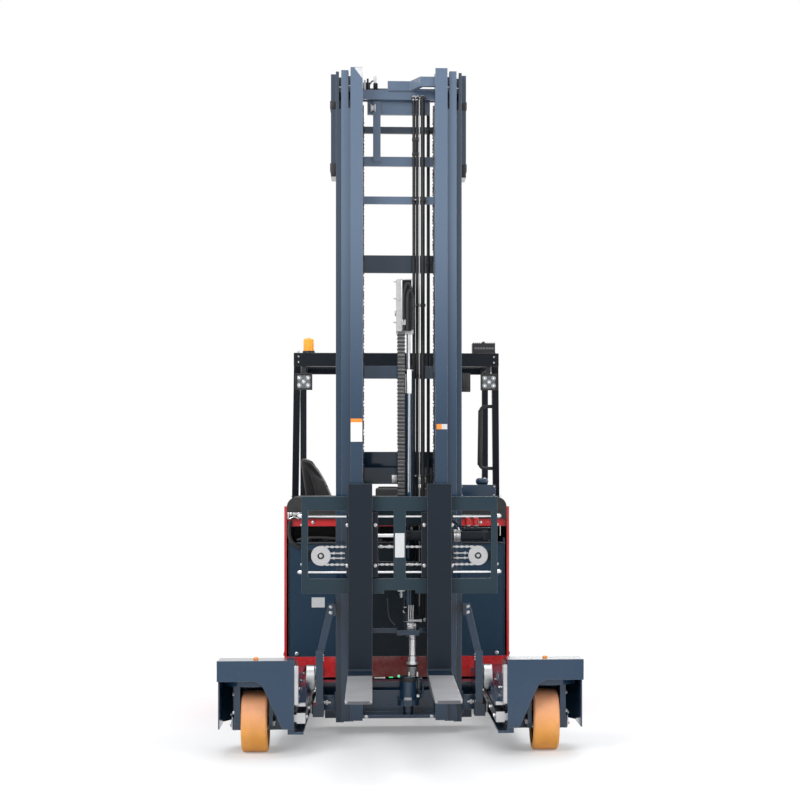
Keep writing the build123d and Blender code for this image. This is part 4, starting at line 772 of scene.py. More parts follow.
def pipe(points, radius, sides=12, smooth=True):
    """A bent pipe or fixed hose through points in millimetres."""
    bpy.ops.object.select_all(action="DESELECT")
    bpy.ops.curve.primitive_bezier_curve_add()
    run = bpy.context.object
    data = run.data
    data.splines.clear()
    line = data.splines.new("NURBS" if smooth else "POLY")
    line.points.add(len(points) - 1)
    for node, point in zip(line.points, points):
        node.co = (*place(*point), 1.0)
    if smooth:
        line.order_u = 3
        line.use_endpoint_u = True
        line.resolution_u = 6
    data.dimensions = "3D"
    data.bevel_depth = radius / 1000
    data.bevel_resolution = max(1, sides // 4 - 1)
    data.use_fill_caps = True
    run.location = (0, 0, 0)
    only(run)
    bpy.ops.object.convert(target="MESH")
    return settled(bpy.context.object)


def fitted(name, pieces, slot, body, finish=None, angle=40):
    """Joins pieces of one finish into a named object that moves with a body."""
    piece = joined(pieces)
    piece.name = name
    piece.data.name = name
    only(piece)
    bpy.ops.object.shade_smooth_by_angle(angle=math.radians(angle))
    piece.data.materials.clear()
    piece.data.materials.append(finishes[finish or slot])
    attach(piece, body)
    return piece


def ribbon(points, width, thickness):
    """A flat strap whose middle follows points, standing across the X direction."""
    bpy.ops.object.select_all(action="DESELECT")
    bpy.ops.mesh.primitive_grid_add(x_subdivisions=6 * (len(points) - 1), y_subdivisions=1, size=1)
    strap = bpy.context.object
    for corner in strap.data.vertices:
        along = (corner.co.x + 0.5) * (len(points) - 1)
        first = min(int(along), len(points) - 2)
        t = along - first
        before = Vector(points[max(first - 1, 0)])
        here, there = Vector(points[first]), Vector(points[first + 1])
        after = Vector(points[min(first + 2, len(points) - 1)])
        spot = 0.5 * (2 * here + (there - before) * t
                      + (2 * before - 5 * here + 4 * there - after) * t * t
                      + (3 * here - before - 3 * there + after) * t ** 3)
        corner.co = place(spot.x + corner.co.y * width, spot.y, spot.z)
    return thickened(strap, thickness)


# Operators

class REACH_OT_paint_frame(bpy.types.Operator):
    """Gives every piece of the frame the finish of its material slot"""
    bl_idname = "reach.paint_frame"
    bl_label = "Paint the frame"

    def execute(self, context):
        make_finishes()
        slots = {p["node"]: p["material_slot"] for p in frame["record"]["subparts"]}
        special = {"battery_rail": "red_bar", "foot_piston": "silver_sleeve"}
        for name, node in frame["nodes"].items():
            node.data.materials.clear()
            node.data.materials.append(finishes[special.get(name, slots[name])])
        return {"FINISHED"}


class REACH_OT_carriage_fittings(bpy.types.Operator):
    """Adds the fork positioner's turnbuckles, couplings, clamps and bolts"""
    bl_idname = "reach.carriage_fittings"
    bl_label = "Carriage fittings"

    def execute(self, context):
        self.discs()
        self.turnbuckles()
        self.couplings()
        self.frame_bolts()
        self.fork_bolts()
        return {"FINISHED"}

    def discs(self):
        """Dark ring and bright socket on each chain disc."""
        rings, hubs = [], []
        for x in (-DISC_X, DISC_X):
            middle = (x, DISC_FACE_Y, DISC_Z)
            rings.append(turned(middle, "-Y", [(0, 17), (2.5, 17), (3.2, 16), (3.2, 12),
                                               (0.4, 11.5)], 32))
            hubs.append(turned(middle, "-Y", [(0, 9), (2.4, 9), (3, 8), (3, 5), (1, 4.6)], 6))
        fitted("disc_rings", rings, "black_plastic", "fork_carriage", "black_cap")
        fitted("disc_hubs", hubs, "bright_steel", "fork_carriage")

    def turnbuckles(self):
        """Threaded ends of the chain and the short rods beside the discs."""
        # from, to, height, radius
        table = [(-115, -31, 988, 5), (31, 108, 898, 5), (-352, -278, 955, 4),
                 (-352, -278, 930, 4), (276, 350, 955, 4), (276, 350, 930, 4)]
        rods = []
        for x0, x1, z, r in table:
            length = x1 - x0
            nut = 0.16 * length
            rods.append(turned((x0, 299, z), "+X", [
                (0, r), (nut, r), (nut, r * 1.9), (2 * nut, r * 1.9), (2 * nut, r),
                (length - 2 * nut, r), (length - 2 * nut, r * 1.9), (length - nut, r * 1.9),
                (length - nut, r), (length, r)], 12))
        fitted("chain_turnbuckles", rods, "bright_steel", "fork_carriage")

    def couplings(self):
        """Red-capped couplings, their block on the cylinder, its clamps and its pipes."""
        caps = [turned((x, 338, 1098), "+Z", [(0, 14), (4, 15), (26, 15), (30, 13), (36, 12),
                                              (37, 8)], 20) for x in (349, 391)]
        caps.append(turned((448, 330, 1108), "+X", [(0, 5), (8, 5), (9, 3)], 12))
        fitted("coupling_caps", caps, None, "fork_carriage", "red_cap")
        dark = [block(322, 470, 318, 356, 1072, 1084, 1.5)]
        dark += [turned((x, 338, 1084), "+Z", [(0, 13), (6, 13), (6, 10), (14, 10)], 6)
                 for x in (349, 391)]
        dark += [turned((24, POSITIONER_Y, POSITIONER_Z), "+X",
                        [(0, 32), (26, 32), (30, 29), (30, 20)], 28),
                 turned((425, POSITIONER_Y, POSITIONER_Z), "+X", [(0, 31), (28, 31), (30, 29)], 28)]
        dark.append(pipe([(300, 338, 1096), (290, 338, 1112), (276, 338, 1112), (270, 344, 1090),
                          (272, 350, 1060)], 5))
        dark.append(pipe([(470, 345, 1078), (484, 350, 1078), (488, 352, 1060), (488, 352, 985),
                          (470, 356, 968)], 6))
        fitted("coupling_block", dark, "black_paint", "fork_carriage")
        silver = [hoop((x, POSITIONER_Y, POSITIONER_Z), "+X", 29.5, 3.4)
                  for x in range(279, 308, 7)]
        silver += [turned((x, 338, 1090), "+Z", [(0, 15), (7, 15), (8, 12)], 6)
                   for x in (349, 391)]
        silver += [turned((x, 330, 1070), "+Z", [(0, 8), (10, 8), (10, 6), (16, 6)], 6)
                   for x in (60, 300)]
        fitted("positioner_clamp", silver, "bright_steel", "fork_carriage")
        clip = [block(-24, 24, 251.2, 252.3, 936, 1059, 0.3, 1)]
        fitted("centre_plate", clip, None, "fork_carriage", "label")

    def frame_bolts(self):
        """Bolts of the guide rods' ends, the chain arms and the roller plates."""
        table = [(s * 470, 287, z, "+Y") for s in (-1, 1) for z in (1210, 790)]
        table += [(s * 470, 317, z, "+Y") for s in (-1, 1) for z in (930, 957)]
        heads = screws(bolt, 17, table)
        side = [(s * 496, 269, z, aim_x(s)) for s in (-1, 1) for z in (900, 1100)]
        heads += screws(socket_screw, 6, side)
        ends = [(s * 510, 269, z, aim_x(s)) for s in (-1, 1) for z in (860, 1144)]
        heads += screws(socket_screw, 7, ends)
        fitted("carriage_bolts", heads, "bright_steel", "fork_carriage")
        welds = []
        for s in (-1, 1):
            for z in (829, 1174):
                welds.append(pipe([(s * 31, 254, z), (s * 60, 254, z + 1), (s * 120, 254, z)], 2.2))
                welds.append(pipe([(s * 464, 254, z + (10 if z < 1000 else -10)),
                                   (s * 458, 254, z), (s * 440, 254, z)], 2.4))
        fitted("carriage_welds", welds, "carriage_paint", "fork_carriage")

    def fork_bolts(self):
        """Hanger bolts beside the shanks and the locking pins on the upper hooks."""
        for s, body in ((-1, "left_fork"), (1, "right_fork")):
            heads = screws(bolt, 13, [(s * 125, 244.7, z, "-Y") for z in (895, 1100)])
            heads += screws(bolt, 13, [(s * 264, 244.7, z, "-Y") for z in (895, 1100)])
            fitted(body + "_bolts", heads, "bright_steel", body)
            pin = [turned((s * 200, 287, 1273.5), "+Z", [(0, 13), (5, 13), (6, 11), (6, 7), (24, 7),
                                                         (26, 5)], 20),
                   pipe([(s * 200 - 6, 287, 1293), (s * 200 - 26, 287, 1297),
                         (s * 200 - 30, 287, 1290)], 3.5)]
            fitted(body + "_lock", pin, "bright_steel", body)


class REACH_OT_chain_pins(bpy.types.Operator):
    """Adds the pins of the leaf chains, their anchors and the pulley's retainers"""
    bl_idname = "reach.chain_pins"
    bl_label = "Chain pins"

    def execute(self, context):
        first = turned((-9, 515, 770), "+X", [(0, 2.6), (1, 3.4), (41, 3.4), (42, 2.6)], 8)
        pins = self.row(first, 70) + self.row(copied(first, back=90, up=745), 35)
        fitted("carriage_chain_pins", pins, "chain_steel", "free_head", "dark_pin")
        pins = []
        for low, count, y in ((320, 154, 654), (2580, 35, 744)):
            first = turned((181, y, low), "+X", [(0, 2.2), (1, 3.0), (17, 3.0), (18, 2.2)], 8)
            pins += self.row(first, count)
        strand = joined(pins)
        twin = other_side(strand)
        fitted("mast_chain_pins", [strand, twin], "chain_steel", "middle_mast", "dark_pin")
        anchors = [turned((x, 654, 250), "+Z", [(0, 7), (20, 7), (20, 10), (34, 10), (34, 7),
                                                (52, 7)], 12) for x in (-190, 190)]
        fitted("mast_chain_anchors", anchors, "bright_steel", "middle_mast")
        yoke = [turned((12, 515, 712), "+Z",
                       [(0, 7), (14, 7), (14, 11), (22, 11), (22, 7), (40, 7)],
                       12),
                block(-7, 31, 508, 522, 744, 768, 2.0)]
        fitted("carriage_chain_anchor", yoke, "bright_steel", "free_head")
        caps = [turned((38, BARREL_Y, 2200), "+X",
                       [(0, 15), (5, 15), (7, 12), (7, 6), (4, 5.5)], 24),
                turned((-14.5, BARREL_Y, 2200), "-X", [(0, 15), (5, 15), (7, 12)], 24)]
        caps += screws(socket_screw, 5, [(x, 498, z, "-Y") for x in (0, 50) for z in (2125, 2350)])
        caps += screws(socket_screw, 6, [(0, 498, 2265, "-Y")])
        caps += [turned((-14.5, 502, z), "-X", [(0, 6), (5, 6), (5, 4), (14, 4), (15, 2)], 12)
                 for z in (2360, 2272, 2148)]
        caps += [block(12, 17, 478, 492, 2105, 2372, 1.0), block(12, 70, 478, 492, 2366, 2372, 1.0),
                 block(12, 34, 478, 492, 2132, 2160, 2.0)]
        fitted("crosshead_screws", caps, "bright_steel", "free_head")
        pads = [block(14, 65, 490, 498.4, 2102, 2366, 3.0)]
        loops = [pipe([(24, 486, 2104), (23, 484, 2240), (24, 484, 2300), (36, 484, 2346),
                       (52, 486, 2352), (64, 492, 2320), (67, 500, 2240), (66, 510, 2110)], 8),
                 pipe([(42, 482, 2104), (41, 480, 2230), (42, 480, 2280), (50, 480, 2312),
                       (62, 484, 2310), (74, 492, 2270), (76, 504, 2200), (74, 512, 2120)], 8)]
        fitted("crosshead_hoses", loops, "black_rubber", "free_head")
        fitted("crosshead_straps", pads, "black_paint", "free_head")
        return {"FINISHED"}

    def row(self, first, count):
        """A pin and its copies up the chain, one at each link."""
        return [first] + [copied(first, up=CHAIN_PITCH * link) for link in range(1, count)]


class REACH_OT_mast_top(bpy.types.Operator):
    """Adds the pads, hose clamps, bolts and small brackets of the mast's upper part"""
    bl_idname = "reach.mast_top"
    bl_label = "Mast top"

    def execute(self, context):
        pads = [block(331, 356, 628, 636, z0, z1, 1.5) for z0, z1 in ((3283, 3319), (2926, 2993))]
        pads += [block(356.5, 362, 660, 780, z0, z1, 1.5) for z0,
                 z1 in ((3290, 3330), (2960, 3000))]
        fitted("cheek_pads", both(pads), "black_plastic", "reach_carriage")
        clamps = [block(70, 108, 604, 628, 3037, 3052, 2), block(70, 108, 604, 628, 3112, 3130, 2),
                  block(84, 94, 606, 612, 3052, 3112, 1.5), block(70, 142, 604, 630, 2795, 2810, 2)]
        clamps += [block(68, 142, 604, 630, z0, z1, 2)
                   for z0, z1 in ((2240, 2254), (1340, 1354), (3333, 3345))]
        fitted("inner_hose_clamps", clamps, "black_plastic", "inner_mast")
        outer = [block(148, 174, 758, 782, z, z + 14, 2) for z in (3190, 2475, 1340, 400)]
        fitted("outer_hose_clamps", outer, "black_plastic", "reach_carriage")
        clips = screws(socket_screw, 3.5, [(x, 604, z, "-Y") for x in (88.7, 112)
                                           for z in (2802, 2247, 1347, 3339)])
        clips += [turned((x, 618, 3328), "+Z", [(0, r + 3), (20, r + 3), (22, r + 1.5), (24, r)], 6)
                  for x, r in ((80, 8), (97.5, 8), (127, 11))]
        fitted("hose_fittings", clips, "bright_steel", "inner_mast")
        strip = [block(-132, -116, 652, 660, 3422, 3464, 2.0),
                 block(-184, -172, 646, 660, 3385, 3440, 1.5)]
        fitted("top_strip", strip, None, "middle_mast", "label")
        hook = [block(-134, -110, 648, 670, 3382, 3424, 2.5),
                block(-188, -150, 652, 668, 3372, 3428, 2.5),
                pipe([(-150, 660, 3420), (-142, 660, 3440), (-132, 660, 3436)], 4),
                block(-168, -158, 640, 652, 3372, 3446, 2.0)]
        fitted("hose_hook", hook, "black_paint", "middle_mast")
        # a real wear plate and a painted highlight: its pale blank colour stands in for the white
        # glint at the rail's top
        notch = [self.corner_plate(-229, -189, RAIL_FACE_Y - 0.1, RAIL_FACE_Y + 0.9, 3416, 3468)]
        fitted("rail_end_plate", notch, None, "inner_mast", "label")
        # a real bright strip and a painted highlight: it also stands in for the light caught by the
        # rails' rounded edges
        edge = [block(328.2, 332, 690, 697, z0, z1, 1.0)
                for z0, z1 in ((2996, 3282), (3322, 3440))]
        fitted("cheek_strips_and_highlights", both(edge), "bright_steel", "reach_carriage")
        guide = [turned((-121, 650, 3292), "-X", [(0, 20), (5, 22), (8, 14), (20, 14), (23, 22),
                                                  (27, 20)], 24)]
        fitted("hose_pulley", guide, None, "middle_mast", "label")
        sleeve = [block(42, 66, 528, 535, 1777, 1903, 2.5),
                  hoop((BARREL_X, BARREL_Y, 1900), "+Z", 25, 3)]
        fitted("barrel_sleeve", sleeve, "bright_steel", "inner_mast", "silver_sleeve")
        line = [pipe([(53, 531, 1780), (52, 531, 1600), (50, 531, 1400), (50, 531, 1262)], 4, 8),
                pipe([(36, 534, 1880), (36, 532, 1780)], 2.5, 8)]
        fitted("barrel_cable", line, None, "inner_mast", "label")
        cable = [pipe([(109, 604, 3330), (110, 604, 2700), (108, 604, 2100), (110, 604, 1400),
                       (109, 604, 660)], 3.0, 8)]
        fitted("sensor_cable", cable, None, "inner_mast", "label")
        rows = ((343, (3200, 3060, 2960)), (308, (2505, 2455, 1370, 1320)))
        heads = screws(bolt, 17, [(s * x, 800, z, "+Y") for x, heights in rows
                                  for s in (-1, 1) for z in heights])
        fitted("outer_mast_bolts", heads, "bright_steel", "reach_carriage")
        bar = [block(-318, 318, 779.4, 798, 1388, 1474, 2.0)]
        fitted("mast_stiffener", bar, "slate_paint", "reach_carriage", "bar_slate")
        clip = [block(x0, x1, 774, 781, 1307, 1350, 1.5) for x0, x1 in ((-35, -6), (109, 150))]
        fitted("hose_clip", clip, "bright_steel", "reach_carriage", "silver_sleeve")
        bars = [(s * x, 690, z, "+Y") for s in (-1, 1) for x in (205, 250) for z in (3012, 1895)]
        fitted("middle_mast_bolts", screws(bolt, 15, bars), "bright_steel", "middle_mast")
        table = [(s * 170, 480, 96, "-Y") for s in (-1, 1)]
        fitted("inner_mast_bolts", screws(bolt, 13, table), "bright_steel", "inner_mast")
        glands = [turned((s * 290, 740, 3200), "+Z", [(0, 34), (0, 31), (14, 31), (18, 27),
                                                      (18, 23)], 32) for s in (-1, 1)]
        fitted("lift_glands", glands, "black_paint", "reach_carriage")
        return {"FINISHED"}

    def corner_plate(self, x0, x1, y0, y1, z0, z1):
        """Thin three-cornered plate whose long edge runs down to the right."""
        plate = block(x0, x1, y0, y1, z0, z1, 0)
        edited(plate)
        across, rise = (x1 - x0) / 1000, (z1 - z0) / 1000
        bpy.ops.mesh.bisect(plane_co=place(x0 + 6, y0, z1 - 14), plane_no=(-rise, 0, -across),
                            use_fill=True, clear_outer=True)
        bpy.ops.object.mode_set(mode="OBJECT")
        return plate


class REACH_OT_mast_labels(bpy.types.Operator):
    """Adds the blank plates of the mast, the battery and the body"""
    bl_idname = "reach.mast_labels"
    bl_label = "Blank plates"

    def execute(self, context):
        # name, across, heights, finish
        table = [("left_rail_plate", -251, -191, 1525, 1645, "banded_label"),
                 ("right_rail_plate", 222, 251, 1590, 1617, "label"),
                 ("right_rail_band", 195, 222, 1590, 1617, "orange_label")]
        for name, x0, x1, z0, z1, finish in table:
            plate = block(x0, x1, RAIL_FACE_Y, RAIL_FACE_Y + 1, z0, z1, 0.2, 1)
            fitted(name, [plate], None, "inner_mast", finish)
        plates = [block(-478, -405, 1219.2, 1220.2, 604, 660, 0.2, 1),
                  block(631, 631.8, 1500, 1620, 900, 960, 0.2, 1),
                  block(-90, 60, 2440, 2440.8, 900, 980, 0.2, 1)]
        fitted("body_plates", plates, None, "chassis", "label")
        return {"FINISHED"}


class REACH_OT_mast_foot(bpy.types.Operator):
    """Adds the pipes, valves and fittings round the free-lift cylinder's foot"""
    bl_idname = "reach.mast_foot"
    bl_label = "Mast foot"

    def execute(self, context):
        bright = [block(43, 89, 524, 535, 543, 577, 2.0),
                  hoop((BARREL_X, BARREL_Y, 584), "+Z", 26, 3),
                  *(turned((PISTON_X, BARREL_Y, z), "+Z", [(0, 18.2), (1.5, 19), (5, 19),
                                                           (6.5, 18.2)], 28) for z in (488, 404)),
                  turned((PISTON_X, BARREL_Y, 505), "+Z", [(0, 30), (9, 33.5), (12, 33.5)], 28)]
        bright += [block(x, x + 9, 528, 534, 297, 323, 1.0) for x in (49, 92)]
        bright += [turned((x, 526, z), "-Y", [(0, 8), (6, 8), (8, 5), (12, 5)], 6)
                   for x, z in ((52, 560), (76, 565))]
        bright += [pipe([(x, 531, 578), (x, 529, 600), (x, 528, 640), (x + 2, 530, 672)], 3.6, 8)
                   for x in (51, 62, 73)]
        bright += [pipe([(24, 530, z), (40, 528, z)], 4, 8) for z in (661, 634)]
        bright += [pipe([(24, 530, 661), (24, 530, 634)], 4, 8),
                   turned((49, 527, 590), "+X", [(0, 7), (60, 7), (60, 9), (70, 9), (72, 5)], 12)]
        bright += [turned((137, 610, 588), "-Y", [(0, 9), (5, 11), (11, 11), (16, 8), (18, 4)], 16),
                   turned((100, 545, 196), "-Y", [(0, 8), (6, 10), (12, 8)], 16),
                   turned((104, 565, 229), "+Z", [(0, 9), (12, 9), (12, 7), (34, 7), (34, 10),
                                                  (50, 10), (58, 6)], 6)]
        fitted("foot_valves", bright, "bright_steel", "inner_mast")
        dark = [pipe([(22, 534, 700), (21, 531, 660), (28, 529, 640), (44, 528, 628)], 5),
                block(36, 93, 586, 606, 582, 612, 3.0),
                turned((86, 596, 612), "+Z", [(0, 9), (10, 9), (12, 7), (24, 7)], 6),
                pipe([(93, 596, 596), (110, 598, 598), (126, 602, 590), (134, 604, 585)], 5),
                pipe([(93, 594, 608), (110, 598, 614), (126, 602, 611), (134, 606, 600)], 3.5),
                turned((PISTON_X, BARREL_Y, 345), "+Z", [(0, 27), (3, 24), (12, 24), (15, 27)], 28),
                turned((FOOT_X, BARREL_Y, 270), "+Z",
                       [(0, 45.5), (4, 47), (18, 47), (22, 45.5)], 36)]
        fitted("foot_hoses", dark, "black_rubber", "inner_mast")
        grey = [pipe([(104, 560, 284), (118, 556, 290), (128, 552, 270), (127, 552, 220),
                      (120, 556, 186), (100, 562, 176)], 5.5)]
        grey += [pipe([(-20, 600, 560), (-40, 606, 575), (-58, 610, 620), (-60, 614, 700)], 5)]
        fitted("foot_pipes", grey, "slate_paint", "inner_mast")
        ribs = [turned((PISTON_X, BARREL_Y, 299 + 5 * i), "+Z",
                       [(0, 26), (1, 27.5), (3, 27.5), (4, 26)], 28)
                for i in range(9)]
        fitted("foot_ribs", ribs, "cast_grey", "inner_mast")
        plate = self.wrap((FOOT_X, BARREL_Y), 45.6, -28, 22, 176, 190)
        fitted("foot_plate", [plate], None, "inner_mast", "label")
        green = [turned((0, 512, 303), "-Y", [(0, 6), (4, 6), (6, 3)], 16),
                 turned((-52, 520, 296), "+X", [(0, 3), (20, 3), (21, 2)], 12)]
        fitted("foot_sensor", green, None, "inner_mast", "green_lamp")
        rods = [turned((-128, 520, 293), "+X", [(0, 3), (48, 3), (48, 5), (56, 5), (57, 3)], 12),
                turned((-1, 512, 303), "+Y", [(0, 8), (10, 8), (10, 4), (24, 4)], 12)]
        fitted("foot_rod", rods, "bright_steel", "inner_mast")
        wire = [pipe([(-30, 520, 296), (-18, 520, 292), (-6, 522, 298), (6, 530, 296)], 2, 8),
                pipe([(-128, 520, 293), (-150, 530, 292), (-180, 540, 296), (-189, 545, 300)], 3,
                     8)]
        fitted("foot_wire", wire, "black_rubber", "inner_mast")
        return {"FINISHED"}

    def wrap(self, middle, radius, left, right, low, high):
        """A thin blank plate bent round the front of a cylinder."""
        bpy.ops.object.select_all(action="DESELECT")
        bpy.ops.mesh.primitive_plane_add(size=1)
        plate = bpy.context.object
        plate.scale = (1, (high - low) / 1000, 1)
        edited(settled(plate))
        bpy.ops.mesh.subdivide(number_cuts=12)
        bpy.ops.object.mode_set(mode="OBJECT")
        for corner in plate.data.vertices:
            angle = math.radians(left + (corner.co.x + 0.5) * (right - left))
            rise = (low + high) / 2 + corner.co.y * 1000
            corner.co = place(middle[0] + radius * math.sin(angle),
                              middle[1] - radius * math.cos(angle), rise)
        return thickened(plate, 0.6)


class REACH_OT_running_gear(bpy.types.Operator):
    """Adds the screws, covers and strips of the legs, yokes, rollers and stays"""
    bl_idname = "reach.running_gear"
    bl_label = "Running gear"

    def execute(self, context):
        for side, s in (("right", 1), ("left", -1)):
            self.yoke(side, s)
            self.wheel(side, s)
            self.leg(side, s)
        self.stays()
        return {"FINISHED"}

    def yoke(self, side, s):
        """Bright flange with three bolts, the axle's nut and the bolts of the outer plate."""
        out, inward = aim_x(s), aim_x(-s)
        disc = [turned((s * 820, 0, AXLE_Z), out,
                       [(0, 44), (3, 44), (5, 42), (5, 26), (2, 25)], 40)]
        disc += bolt_circle(s * 825, 34, 3, out, 12, False)
        disc.append(turned((s * 622, 0, AXLE_Z), inward, [(0, 26), (5, 26), (6, 24), (6, 12),
                                                          (9, 12)], 6))
        disc += [bolt((s * 808, y, z), out, 15) for y in (-60, 60) for z in (200, 290)]
        fitted("yoke_flange_" + side, disc, "bright_steel", "yoke_" + side)

    def wheel(self, side, s):
        """Clamp ring and five nuts on both faces of the hub."""
        parts = []
        x = s * LOAD_WHEEL_X
        for face in (1, -1):
            parts += bolt_circle(x + face * 33.6, 68, 5, aim_x(face), 15)
            parts.append(turned((x + face * 56, 0, AXLE_Z), aim_x(face),
                                [(0, 43), (3, 43), (5, 40), (5, 24), (3, 23)], 32))
        fitted("hub_nuts_" + side, parts, "bright_steel", "load_wheel_" + side)

    def leg(self, side, s):
        """Wear strip, coloured caps, weld seams and lashing eye."""
        body, inward = "chassis", aim_x(-s)
        strip = [block(*span(s, 494, 515.2), -183, -176, 250.5, 440, 2.5),
                 block(*span(s, 509, 515.2), -180, 60, 251, 438, 2.0),
                 block(*span(s, 462, 512), -112, -99, 234, 251.5, 2.0)]
        strip += screws(socket_screw, 5, [(s * 515, y, z, inward) for y in (-110, -60)
                                          for z in (300, 345, 390)])
        strip += screws(bolt, 15, [(s * 463, y, 180, inward)
                                   for y in (-70, 240, 550, 860, 1170)])
        strip += screws(bolt, 13, [(s * 515, y, 268, inward) for y in (300, 620, 940)])
        fitted("leg_strip_" + side, strip, "bright_steel", body)
        for colour, z, r, finish in (("red", 330, 8, "red_cap"), ("white", 312, 7, "label")):
            cap = turned((s * 515, -96, z), inward, [(0, r), (6, r), (8, r - 3)], 16)
            fitted(f"leg_cap_{colour}_{side}", [cap], None, body, finish)
        caps = [turned((s * 702, -118, 465), "+Z", [(0, 12), (5, 12), (9, 10), (11, 6)], 24)]
        fitted("leg_cap_orange_" + side, caps, None, body, "orange_label")
        seams = [pipe([(s * 631, 186, 330), (s * 631, 250, 300), (s * 631, 300, 279)], 3),
                 pipe([(s * 516, 296, 281), (s * 570, 299, 282), (s * 630, 300, 280)], 3),
                 pipe([(s * 632, 190, 120), (s * 632, 190, 200), (s * 632, 190, 325)], 3)]
        seams.append(turned((s * 885, -176, 445), inward, [(0, 9), (1.5, 9), (2.5, 7)], 20))
        fitted("leg_seams_" + side, seams, "slate_paint", body)
        ring = [pipe([(s * 631, 700, 210), (s * 662, 700, 210), (s * 668, 724, 210),
                      (s * 662, 748, 210), (s * 631, 748, 210)], 6)]
        fitted("lashing_eye_" + side, ring, "black_paint", body)

    def stays(self):
        """Clamp bands, screws, roller pins, arms and shoes at the stays' feet."""
        bands = [block(386.5, 428, 385, 392, z, z + 9, 1.5) for z in (398, 411, 424)]
        bands += [turned((388, 452, 176), "-X",
                         [(0, 7), (8, 7), (8, 11), (15, 12), (20, 12), (22, 8),
                          (22, 5), (34, 5), (35, 3)], 20)]
        bands += screws(bolt, 19, [(427, y, z, "+X") for y, z in ((480, 230), (600, 230),
                                                                 (500, 280), (660, 285))])
        bands += [turned((471.5, y, z), "+X", [(0, 15.5), (3, 15.5), (5, 12), (5, 7)], 24)
                  for y, z in ((370, 315.3), (740, 292.3))]
        bands += [turned((454.5, y, 124), "+Z", [(0, 6), (4, 6), (4, 8), (36, 8), (36, 5), (44, 5)],
                         20) for y in (440, 500)]
        bands += screws(bolt, 13, [(352, 390, z, "-Y") for z in (645, 675)])
        fitted("reach_screws", both(bands), "bright_steel", "reach_carriage")
        shoes = [block(446, 450, 425, 515, 120, 160, 1.5)]
        arms = [block(329.5, 392, 505, 545, 128, 204, 3.0),
                block(329.5, 336, 500, 550, 110, 222, 2.0)]
        arms += [pipe([(336, 508, 204), (360, 508, 206), (388, 508, 204)], 2.5)]
        fitted("stay_arms", both(arms), "slate_paint", "reach_carriage")
        fitted("shoe_pads", both(shoes), "black_plastic", "reach_carriage")


class REACH_OT_outer_rails(bpy.types.Operator):
    """Shows the outer mast with its two rear bars cut flush and carried behind the rails"""
    bl_idname = "reach.outer_rails"
    bl_label = "Outer rails"

    def execute(self, context):
        node = frame["nodes"]["mast_outer"]
        rails = bpy.data.objects.new("outer_rails", node.data.copy())
        context.scene.collection.objects.link(rails)
        edited(rails)
        bpy.ops.mesh.remove_doubles(threshold=0.00001)
        bpy.ops.object.mode_set(mode="OBJECT")
        if rails.data.has_custom_normals:
            bpy.ops.mesh.customdata_custom_splitnormals_clear()
        bpy.ops.object.mode_set(mode="EDIT")
        for low, high in REAR_BARS:
            for side in (1, -1):
                shape = bmesh.from_edit_mesh(rails.data)
                bpy.ops.mesh.select_all(action="DESELECT")
                for face in shape.faces:
                    heights = [v.co.z for v in face.verts]
                    if min(heights) > (low - 2) / 1000 and max(heights) < (high + 2) / 1000:
                        reach = max(v.co.x * side for v in face.verts)
                        face.select_set(reach > (EAR_X + 0.2) / 1000)
                bmesh.update_edit_mesh(rails.data)
                bpy.ops.mesh.bisect(plane_co=(side * EAR_X / 1000, 0, 0), plane_no=(side, 0, 0),
                                    use_fill=True, clear_outer=True)
        bpy.ops.object.mode_set(mode="OBJECT")
        plates = [block(319, 329, 690, 782, z0, z1, 1.0) for z0, z1 in REAR_BARS]
        whole = joined([rails, *both(plates)])
        fitted("outer_rails", [whole], "slate_paint", "reach_carriage", "shaded_slate", 30)
        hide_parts("mast_outer")
        return {"FINISHED"}


